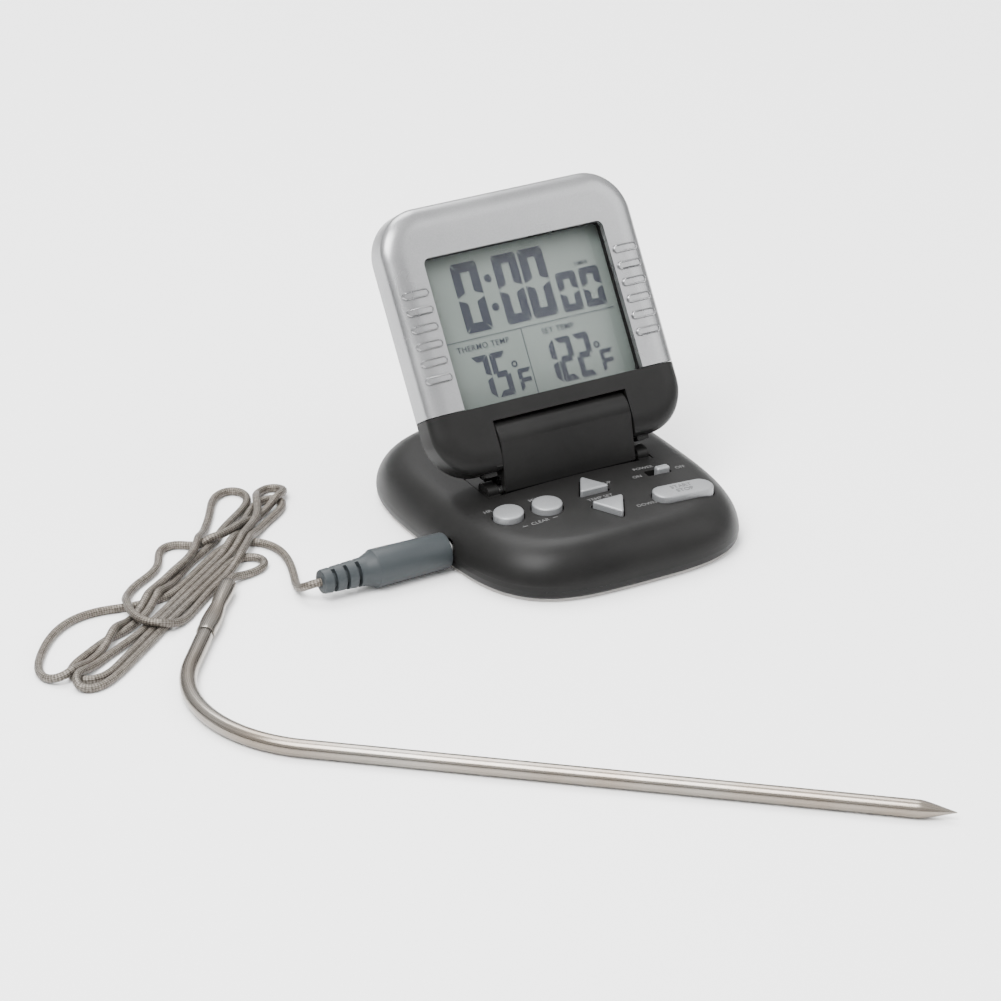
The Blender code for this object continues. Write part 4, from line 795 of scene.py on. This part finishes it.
# Head: one rounded slab, split into the silver bezel above and the black chin below.
headPlace = (Matrix.Translation(joints["head_tilt"]["pos_m"]) @ Matrix.Rotation(math.radians(-32.8), 4, "X"))
head = {"width": 65.6, "height": 62.9, "corner": 11.0, "edgeWidth": 5.2, "edgeDepth": 2.6, "wall": 1.5,
        "face": -4.1, "bottom": -7.1, "front": 7.5, "back": 11.0, "chin": 15.1, "seam": 0.1,
        "notchHalf": 17.6, "notchHeight": 11.25, "pinRadius": 1.3, "screwHead": 2.2,
        "windowWidth": 47.4, "windowTop": 50.8, "windowCorner": 1.6, "lensBack": 4.2,
        "ribCount": 6, "ribFirst": 23.3, "ribPitch": 4.0, "ribInner": 8.4, "ribOuter": 1.7, "ribHalf": 1.02}
ribSteps = ((0.18, 0.46), (0.14, 0.12), (0.14, -0.28), (0.12, -0.28))  # up to the lip, down to the hollow

headMiddle = head["bottom"] + head["height"] / 2


# A head shape is drawn lying down, face up at z 0, then stood up with its face to the front.
def standHead(shape):
    turn = Matrix(((1, 0, 0), (0, 0, -1), (0, 1, 0)))
    bmesh.ops.transform(shape, matrix=turn.to_4x4(), verts=shape.verts)
    return moved(shape, 0.0, head["face"], 0.0)


def headSlab(inset, low, high, corner=None):
    radius = max(head["corner"] - inset, 0.6) if corner is None else corner
    return slab(boxCorners(head["width"] / 2 - inset, head["height"] / 2 - inset, (0.0, headMiddle)),
                radius, low, high, 22)


def headFront(name):
    outer = headSlab(0.0, -head["front"], -head["edgeDepth"])
    roundOver(outer, head["edgeWidth"], head["edgeDepth"], 10)
    return asObject(name, standHead(outer))


def headHollow():
    hollow = headSlab(head["wall"], -head["front"] - 2.0, -head["lensBack"])
    roundOver(hollow, 4.2, 2.5, 5)
    return standHead(hollow)


def shoulderDrop(x):
    # how far the face falls away near the head's side
    inside = head["width"] / 2 - abs(x)
    if inside >= head["edgeWidth"]:
        return 0.0
    return head["edgeDepth"] * (1 - math.sqrt(max(0.0, 1 - (1 - inside / head["edgeWidth"]) ** 2)))


def gripRib(side, z):
    # oblong rib with a raised lip and a hollow middle that follows the rounded side
    inner, outer = head["width"] / 2 - head["ribInner"], head["width"] / 2 - head["ribOuter"]
    middle, half = side * (inner + outer) / 2, (outer - inner) / 2
    shape = slab(boxCorners(half, head["ribHalf"], (middle, z)), head["ribHalf"] - 0.02, -1.0, 0.05, 9)
    for width, rise in ribSteps:
        stepIn(shape, width, rise)
    for step in range(-7, 8):
        bmesh.ops.bisect_plane(shape, geom=shape.verts[:] + shape.edges[:] + shape.faces[:],
                               plane_co=(middle + half * step / 8, 0, 0), plane_no=(1, 0, 0))
    for vertex in shape.verts:
        vertex.co.z -= shoulderDrop(vertex.co.x)
    return standHead(shape)


def makeBezel():
    split = head["bottom"] + head["chin"] + head["seam"]
    bezel = headFront("head_bezel_fine")
    low, high = split - 2.0, head["bottom"] + head["windowTop"]
    opening = slab(boxCorners(head["windowWidth"] / 2, (high - low) / 2, (0.0, (high + low) / 2)),
                   head["windowCorner"], -6.0, 3.0, 10)
    below = plainBox((-40.0, head["bottom"] - 6.0, -20.0), (40.0, split, 5.0))
    carve(bezel, "DIFFERENCE", headHollow(), standHead(below), standHead(opening))
    for side in (-1, 1):
        for step in range(head["ribCount"]):
            carve(bezel, "UNION", gripRib(side, head["bottom"] + head["ribFirst"] + head["ribPitch"] * step))
    return settle(bezel, "head", silverPaint, ("head_bezel",), headPlace, sharp=28.0)


def notchShape():
    barrel = along(rod(5.0, -head["notchHalf"], head["notchHalf"], 64), "X")
    rear = plainBox((-head["notchHalf"], -0.5, head["bottom"] - 4.0), (head["notchHalf"], 12.0, 5.2))
    front = plainBox((-head["notchHalf"], head["face"] - 4.0, head["bottom"] - 4.0),
                     (head["notchHalf"], 0.0, head["notchHeight"] + head["bottom"]))
    return [barrel, rear, front]


def makeChin():
    split = head["bottom"] + head["chin"] - head["seam"]
    chin = headFront("head_chin_fine")
    above = plainBox((-40.0, split, -20.0), (40.0, 80.0, 5.0))
    carve(chin, "DIFFERENCE", standHead(above), headHollow())
    for side in (-1, 1):
        near, far = sorted((side * (head["notchHalf"] - 0.5), side * (head["notchHalf"] + 1.5)))
        cheek = plainBox((near, head["bottom"] + 0.8, -head["front"]), (far, split - 1.0, -1.0))
        carve(chin, "UNION", standHead(cheek))
        lug = slab(boxCorners(1.5, 1.1, (side * 20.2, head["bottom"] + 0.1)), 0.3, -5.0, -2.8, 4)
        carve(chin, "UNION", standHead(lug))
    lintel = plainBox((-head["notchHalf"] - 1.0, head["bottom"] + head["notchHeight"] + 1.4, -3.4),
                      (head["notchHalf"] + 1.0, split - 0.9, -1.0))
    carve(chin, "UNION", standHead(lintel))
    bore = along(rod(head["pinRadius"], -21.8, 21.8), "X")
    carve(chin, "DIFFERENCE", *notchShape(), bore)
    return settle(chin, "head", blackAbs, ("head_chin",), headPlace, sharp=30.0)


def makeBack():
    shape = headSlab(0.45, 0.0, 0.3)
    roundOver(shape, 5.4, 2.95, 9)
    bmesh.ops.scale(shape, vec=(1, 1, -1), verts=shape.verts)
    moved(shape, 0, 0, -head["front"] - 0.25)
    back = asObject("head_back_fine", standHead(shape))
    hollow = headSlab(2.2, -head["back"] + head["wall"], -head["front"] + 2.0)
    rear = head["face"] + head["back"]
    holes = []
    for name in ("top_left", "top_right", "bottom_left", "bottom_right"):
        x, z = screwSpot("head_screw_" + name)
        holes.append(moved(along(rod(head["screwHead"], rear - 1.2, rear + 1.0), "Y"), x, 0.0, z))
    carve(back, "DIFFERENCE", standHead(hollow), *notchShape()[:2], *holes)
    return settle(back, "head", blackAbs, ("head_back_shell",), headPlace, sharp=30.0)


def screwSpot(node):
    # place of a head screw in the head's own drawing
    low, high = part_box(node)
    middle = headPlace.inverted() @ ((low + high) / 2)
    return middle.x / mm, middle.z / mm


makeBezel()
makeChin()
makeBack()
print("head ready")


# Link: front plate that ends in the upper barrel, on a foot round the lower pin.
linkPlace = (Matrix.Translation(joints["link_fold"]["pos_m"]) @ Matrix.Rotation(math.radians(-12.2), 4, "X"))
link = {"half": 17.25, "rise": 11.4, "setback": 1.2, "barrel": 4.6, "foot": 2.6, "face": -3.4, "wall": 1.7}


def makeLink():
    half, chamfer = link["half"], 0.25
    shape = along(turned([(link["barrel"] - chamfer, -half), (link["barrel"], -half + chamfer),
                          (link["barrel"], half - chamfer), (link["barrel"] - chamfer, half)], 96), "X")
    piece = asObject("hinge_link_fine", moved(shape, 0.0, link["setback"], link["rise"]))
    plate = plainBox((-half, link["face"], 0.2), (half, link["face"] + link["wall"], link["rise"] + 0.2))
    foot = along(rod(link["foot"], -half + 0.5, half - 0.5, 64), "X")
    carve(piece, "UNION", plate, foot)
    lowerBore = along(rod(head["pinRadius"], -20.0, 20.0), "X")
    upperBore = moved(along(rod(head["pinRadius"], -20.0, 20.0), "X"), 0.0, link["setback"], link["rise"])
    carve(piece, "DIFFERENCE", lowerBore, upperBore)
    return settle(piece, "link", blackAbs, ("hinge_link",), linkPlace, sharp=30.0)


makeLink()


# Bracket: a block each side of the link hides the pin's ends and fills the recess there.
bracket = {"inner": 18.5, "outer": 21.7, "plate": 0.6, "sunk": 0.15, "knuckle": (-3.8, 12.3)}


def makeBracket():
    foot = boxMm("hinge_bracket")[0].z
    front, rear = base["recessFront"] + 0.3, base["recessRear"] - 0.3
    piece = asObject("hinge_bracket_fine", plainBox((-bracket["outer"], front, foot),
                                                    (bracket["outer"], rear, foot + bracket["plate"])))
    for side in (-1, 1):
        near, far = sorted((side * bracket["inner"], side * bracket["outer"]))
        block = plainBox((near, front, foot + 0.3), (far, rear, 12.3))
        for vertex in block.verts:
            if vertex.co.z > 12.0:
                vertex.co.z = crownAt(vertex.co.x, vertex.co.y) - bracket["sunk"]
        knuckle = slab(boxCorners(2.4, 2.3, bracket["knuckle"]), 1.5, bracket["inner"] + 0.1,
                       bracket["outer"] - 0.3, 8)
        turn = Matrix(((0, 0, side), (1, 0, 0), (0, 1, 0))).to_4x4()
        bmesh.ops.transform(knuckle, matrix=turn, verts=knuckle.verts)
        carve(piece, "UNION", block, knuckle)
    return settle(piece, "base", blackAbs, ("hinge_bracket",), sharp=32.0)


makeBracket()


# Display: grey panel behind a clear lens, with segment figures and thin rules.
windowLeft, windowTopZ = -head["windowWidth"] / 2, head["bottom"] + head["windowTop"]
display = {"panelDepth": 4.6, "rule": 0.16, "shadow": (0.22, -0.30)}
segmentsOf = {"0": "abcdef", "1": "bc", "2": "abged", "5": "afgcd", "7": "abc", "F": "aefg"}


def figure(mark, left, top, width, height, bar):
    # seven bars with mitred ends; left and top are measured inside the window
    middle = height / 2
    gap = bar * 0.12
    inset = bar / 2
    ends = {"a": ((inset, 0), (width - inset, 0)), "d": ((inset, height), (width - inset, height)),
            "g": ((inset, middle), (width - inset, middle)),
            "f": ((0, inset), (0, middle)), "b": ((width, inset), (width, middle)),
            "e": ((0, middle), (0, height - inset)), "c": ((width, middle), (width, height - inset))}
    shapes = []
    for name in segmentsOf[mark]:
        (x0, y0), (x1, y1) = ends[name]
        flat = name in "adg"
        outer = {"a": 1, "d": -1, "g": 0, "f": 1, "e": 1, "b": -1, "c": -1}[name]
        lo, hi = {1: (0, bar), -1: (-bar, 0), 0: (-bar / 2, bar / 2)}[outer]
        if flat:
            cut = bar * 0.9 if outer else bar * 0.5
            near, far = (gap, cut) if outer >= 0 else (cut, gap)
            if outer == 0:
                near = far = cut
            points = [(x0 - inset + near, y0 + lo), (x1 + inset - near, y0 + lo),
                      (x1 + inset - far, y0 + hi), (x0 - inset + far, y0 + hi)]
        else:
            top0, bottom0 = (0.0, middle) if name in "fb" else (middle, height)
            cutTop = bar * 0.9 if name in "fb" else bar * 0.45
            cutBottom = bar * 0.45 if name in "fb" else bar * 0.9
            plain = (top0 + gap, bottom0 - gap)
            trimmed = (top0 + cutTop + gap, bottom0 - cutBottom - gap)
            first, second = (plain, trimmed) if outer > 0 else (trimmed, plain)
            points = [(x0 + lo, first[0]), (x0 + hi, second[0]), (x0 + hi, second[1]), (x0 + lo, first[1])]
        shapes.append(flatOutline([(left + x, -(top + y)) for x, y in points][::-1], bar * 0.1, 3))
    return shapes


def rule(x0, y0, x1, y1):
    half = display["rule"] / 2
    middle = ((x0 + x1) / 2, -(y0 + y1) / 2)
    return flatOutline(boxCorners((x1 - x0) / 2 + half, (y1 - y0) / 2 + half, middle))


def disc(x, y, radius, ring=False):
    shape = bmesh.new()
    bmesh.ops.create_circle(shape, cap_ends=True, segments=20, radius=radius)
    if ring:
        bmesh.ops.inset_region(shape, faces=shape.faces[:], thickness=radius * 0.5, use_boundary=True)
        middle = max(shape.faces, key=lambda face: len(face.verts))
        bmesh.ops.delete(shape, geom=[middle], context="FACES")
    return moved(shape, x, -y, 0.0)


def makeDisplay():
    low, high = head["bottom"] + head["chin"], windowTopZ
    behind = boxCorners(head["windowWidth"] / 2 + 0.8, (high - low) / 2 + 0.8, (0.0, (low + high) / 2))
    panel = roundOver(slab(behind, 0.3, -6.2, -display["panelDepth"] - 0.1, 3), 0.1, 0.1, 2)
    settle(asObject("lcd_panel_fine", standHead(panel)), "head", lcdGrey, ("lcd_panel",),
           headPlace)
    lens = roundOver(slab(behind, 1.0, -4.3, -3.55, 8), 0.15, 0.15, 3)
    settle(asObject("display_lens_fine", standHead(lens)), "head", clearLens, ("display_lens",),
           headPlace)

    shapes = figure("0", 8.2, 2.2, 6.8, 16.4, 2.2)
    shapes += [disc(17.0, 7.0, 0.95), disc(17.0, 13.8, 0.95)]
    shapes += figure("0", 19.0, 2.2, 6.4, 16.4, 2.2) + figure("0", 26.0, 2.2, 6.4, 16.4, 2.2)
    shapes += figure("0", 34.0, 9.4, 5.2, 9.4, 1.7) + figure("0", 40.2, 9.4, 5.2, 9.4, 1.7)
    shapes += [rule(0.3, 19.9, 46.6, 19.9), rule(21.7, 19.9, 21.7, 36.0)]
    for left, mark in ((7.2, "7"), (11.9, "5"), (24.6, "1"), (29.1, "2"), (33.9, "2")):
        shapes += figure(mark, left, 24.0, 4.2, 10.4, 1.4)
    for left in (17.9, 39.9):
        shapes += figure("F", left, 29.0, 3.6, 5.4, 1.0)
        shapes.append(disc(left - 0.2, 27.6, 0.8, True))
    for text, x, y, size in (("THERMO TEMP", 11.2, 21.9, 1.9), ("SET TEMP", 31.0, 21.9, 1.9),
                             ("TIMER", 41.4, 8.2, 1.3)):
        shapes.append(moved(words(text, size, 1.1), x, -y, 0.0))
    whole = joined(shapes)
    shadow = moved(whole.copy(), *display["shadow"], 0.0)  # the figures' faint shade on the panel behind
    for shape, name, depth, thick, material in ((whole, "lcd_figures", 4.57, 0.02, lcdInk),
                                                (shadow, "lcd_figure_shadows", 4.595, 0.008, lcdShade)):
        moved(shape, windowLeft, windowTopZ, 0.0)
        thicken(shape, thick, True)
        moved(shape, 0, 0, -depth)
        settle(asObject(name, standHead(shape)), "head", material, place=headPlace)
    retouch(darkMoulding, "dark_moulding", "window_frame")


makeDisplay()
print("display ready")


# Plug grip: a long collar, a shoulder and a slotted relief, turned about the lead's own line.
grip = {"near": 4.2, "far": 4.5, "length": 18.1, "shoulder": 2.6, "relief": 10.6, "reliefNear": 3.3,
        "reliefFar": 2.8, "slots": 3, "pitch": 3.0, "slotWidth": 0.9, "core": 1.9, "rib": 0.5}


def makeGrip():
    shoulderStart = -grip["length"]
    reliefStart = shoulderStart - grip["shoulder"]
    end = reliefStart - grip["relief"]
    profile = [(1.25, end), (grip["reliefFar"] - 0.45, end), (grip["reliefFar"] - 0.12, end + 0.14),
               (grip["reliefFar"], end + 0.5), (grip["reliefNear"], reliefStart - 0.1),
               (grip["reliefNear"] + 0.12, reliefStart + 0.25),
               (grip["far"] - 0.35, shoulderStart - 0.35), (grip["far"] - 0.1, shoulderStart - 0.1),
               (grip["far"], shoulderStart + 0.35), (grip["near"], -0.15), (grip["near"] - 0.14, 0.24),
               (grip["near"] - 0.5, 0.4), (2.4, 0.4)]
    piece = asObject("plug_grip_fine", along(turned(profile, 72), "X"))
    cuts = []
    for i in range(grip["slots"]):
        middle = reliefStart - 2.0 - grip["pitch"] * i
        near, far = middle - grip["slotWidth"] / 2, middle + grip["slotWidth"] / 2
        for side in (-1, 1):
            core, outside = grip["core"], grip["far"] + 1.5
            cutter = turned([(core, near), (outside, near), (outside, far), (core, far), (core, near)], 48)
            along(cutter, "X")
            bmesh.ops.bisect_plane(cutter, geom=cutter.verts[:] + cutter.edges[:] + cutter.faces[:],
                                   plane_co=(0, side * grip["rib"], 0), plane_no=(0, -side, 0),
                                   clear_outer=True)
            bmesh.ops.holes_fill(cutter, edges=[edge for edge in cutter.edges if edge.is_boundary])
            cuts.append(cutter)
    carve(piece, "DIFFERENCE", *cuts)
    place = Matrix.Translation((plugHigh.x * mm, base["jackY"] * mm, base["jackZ"] * mm))
    return settle(piece, "lead", plugGrey, ("plug_grip",), place, sharp=32.0)


makeGrip()


# Probe: crimped sleeve, long bent tube, ground point.
probe = {"radius": 1.95, "bend": 32.5, "straight": 13.1, "sleeve": 24.0, "stem": 135.9, "tip": 8.0,
         "end": (-83.4, 2.9, 2.1), "into": (-0.624, -0.7815, 0.0), "out": (0.7559, -0.6547, 0.0),
         "flatten": 0.10, "jaws": 13.0, "jawWidth": 5.0}
# run along the sleeve, half width, half height
crimp = [(0.0, 1.80, 1.70), (0.35, 2.02, 1.86), (2.0, 2.08, 1.90), (4.5, 2.04, 1.88), (6.5, 1.98, 1.84),
         (8.5, 1.84, 1.70), (10.5, 1.74, 1.60), (12.5, 1.92, 1.54), (14.5, 2.12, 1.52), (16.5, 2.24, 1.66),
         (18.5, 2.28, 1.80), (20.5, 2.20, 1.90), (22.5, 2.14, 1.96), (23.6, 2.10, 1.98), (24.0, 1.96, 1.90)]
# run along the tip, radius
point = [(0.6, 1.94), (1.0, 1.90), (1.8, 1.76), (2.8, 1.54), (4.0, 1.23), (5.2, 0.90), (6.4, 0.57),
         (7.4, 0.31), (8.0, 0.16), (8.25, 0.06)]


def probeLine():
    into, out = Vector(probe["into"]).normalized(), Vector(probe["out"]).normalized()
    start = Vector(probe["end"]) + into * (probe["sleeve"] + 0.3)
    start.z = probe["radius"] + 0.05
    bendStart = start + into * probe["straight"]
    side = (out - into * out.dot(into)).normalized()
    center = bendStart + side * probe["bend"]
    points = [start + into * probe["straight"] * step / 8 for step in range(8)]
    for step in range(61):
        angle = into.angle(out) * step / 60
        points.append(center + (into * math.sin(angle) - side * math.cos(angle)) * probe["bend"])
    last = points[-1]
    points += [last + out * (probe["stem"] - probe["tip"]) * step / 30 for step in range(1, 31)]
    return points, out


def makeProbe():
    path, out = probeLine()
    radii = [probe["radius"]] * len(path)
    radii[0] -= 0.12
    path += [path[-1] + out * run for run, _ in point]
    radii += [size for _, size in point]
    settle(asObject("probe_tube", tubeAlong(path, radii, 40)), "lead", probeSteel,
           ("probe_stem", "probe_tip"), sharp=50.0)
    into = Vector(probe["into"]).normalized()
    across = Vector((-into.y, into.x, 0.0))
    line = [Vector(probe["end"]) + into * run for run, _, _ in crimp]
    shape = tubeAlong(line, [1.0] * len(line), 48)
    ringLayer = shape.verts.layers.int["ring"]
    for vertex in shape.verts:
        run, wide, tall = crimp[vertex[ringLayer]]
        offset = vertex.co - line[vertex[ringLayer]]
        a, b = offset.dot(across), offset.z
        # the jaws leave flats: the round is squared off where the sleeve is narrowest
        flat = 1.0 + probe["flatten"] * math.exp(-((run - probe["jaws"]) / probe["jawWidth"]) ** 2)
        norm = (abs(a) ** (2 * flat) + abs(b) ** (2 * flat)) ** (1 / (2 * flat))
        vertex.co = line[vertex[ringLayer]] + across * (a / norm * wide) + Vector((0, 0, b / norm * tall))
    return settle(asObject("probe_sleeve_fine", shape), "lead", probeSteel, ("probe_sleeve",),
                  sharp=45.0)


makeLead(makeProbe())
print("probe and lead ready")


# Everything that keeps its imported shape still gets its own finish.
retouch(padGrey, "pad_grey", "base_pad")
retouch(blackAbs, "black_abs", "battery_door", "link_rear_cover")
retouch(darkMoulding, "dark_moulding", "jack_socket", "switch_body")
retouch(screwSteel, "steel", "coin_cell", "plug_pin", "lower_hinge_pin", "upper_hinge_pin",
        *[name for name in nodes if "_screw_" in name])
retouch(contactBrass, "contact_brass", "contact_spring", "contact_side", "buzzer", "friction_washer_left",
        "friction_washer_right")
retouch(boardGreen, "board_green", "main_board", "head_board")
retouch(keyRubber, "key_rubber", "key_mat", "contact_strip")


# White table and soft light from a room that is bright above and dim at the horizon.
lamps = {"key_light": ((-0.5, -0.25, 0.9), 0.6, 22.0), "fill_light": ((0.9, -0.6, 0.8), 0.9, 7.0),
         "top_light": ((0.1, 0.6, 1.1), 0.8, 20.0)}
room = {"low": (0.16, 0.16, 0.165, 1.0), "high": (1.0, 1.0, 1.0, 1.0), "highAt": 0.55, "strength": 1.5}


def makeFloor():
    shape = bmesh.new()
    bmesh.ops.create_grid(shape, x_segments=2, y_segments=2, size=4.0)
    floor = asObject("floor", shape)
    finish = Finish("floor_white", Roughness=0.9)
    tone = finish.ramp(finish.noise(2.0), [(0.0, (0.93, 0.93, 0.93)), (1.0, (0.96, 0.96, 0.96))])
    finish.set(Base_Color=tone)
    floor.data.materials.append(finish.material)


def makeRoom():
    world = bpy.data.worlds.new("room")
    bpy.context.scene.world = world
    world.use_nodes = True
    tree = world.node_tree
    spot = tree.nodes.new("ShaderNodeTexCoord")
    split = tree.nodes.new("ShaderNodeSeparateXYZ")
    ramp = tree.nodes.new("ShaderNodeValToRGB")
    horizon, sky = ramp.color_ramp.elements
    horizon.position, horizon.color = 0.0, room["low"]
    sky.position, sky.color = room["highAt"], room["high"]
    tree.links.new(spot.outputs["Generated"], split.inputs[0])
    tree.links.new(split.outputs["Z"], ramp.inputs["Fac"])
    tree.links.new(ramp.outputs["Color"], tree.nodes["Background"].inputs["Color"])
    tree.nodes["Background"].inputs["Strength"].default_value = room["strength"]


def makeLamps():
    aim = Vector((-0.03, -0.02, 0.02))
    for name, (place, size, power) in lamps.items():
        data = bpy.data.lights.new(name, "AREA")
        data.shape = "SQUARE"
        data.size = size
        data.energy = power
        lamp = bpy.data.objects.new(name, data)
        bpy.context.scene.collection.objects.link(lamp)
        lamp.location = place
        lamp.rotation_euler = (aim - Vector(place)).to_track_quat("-Z", "Y").to_euler()


makeFloor()
makeRoom()
makeLamps()
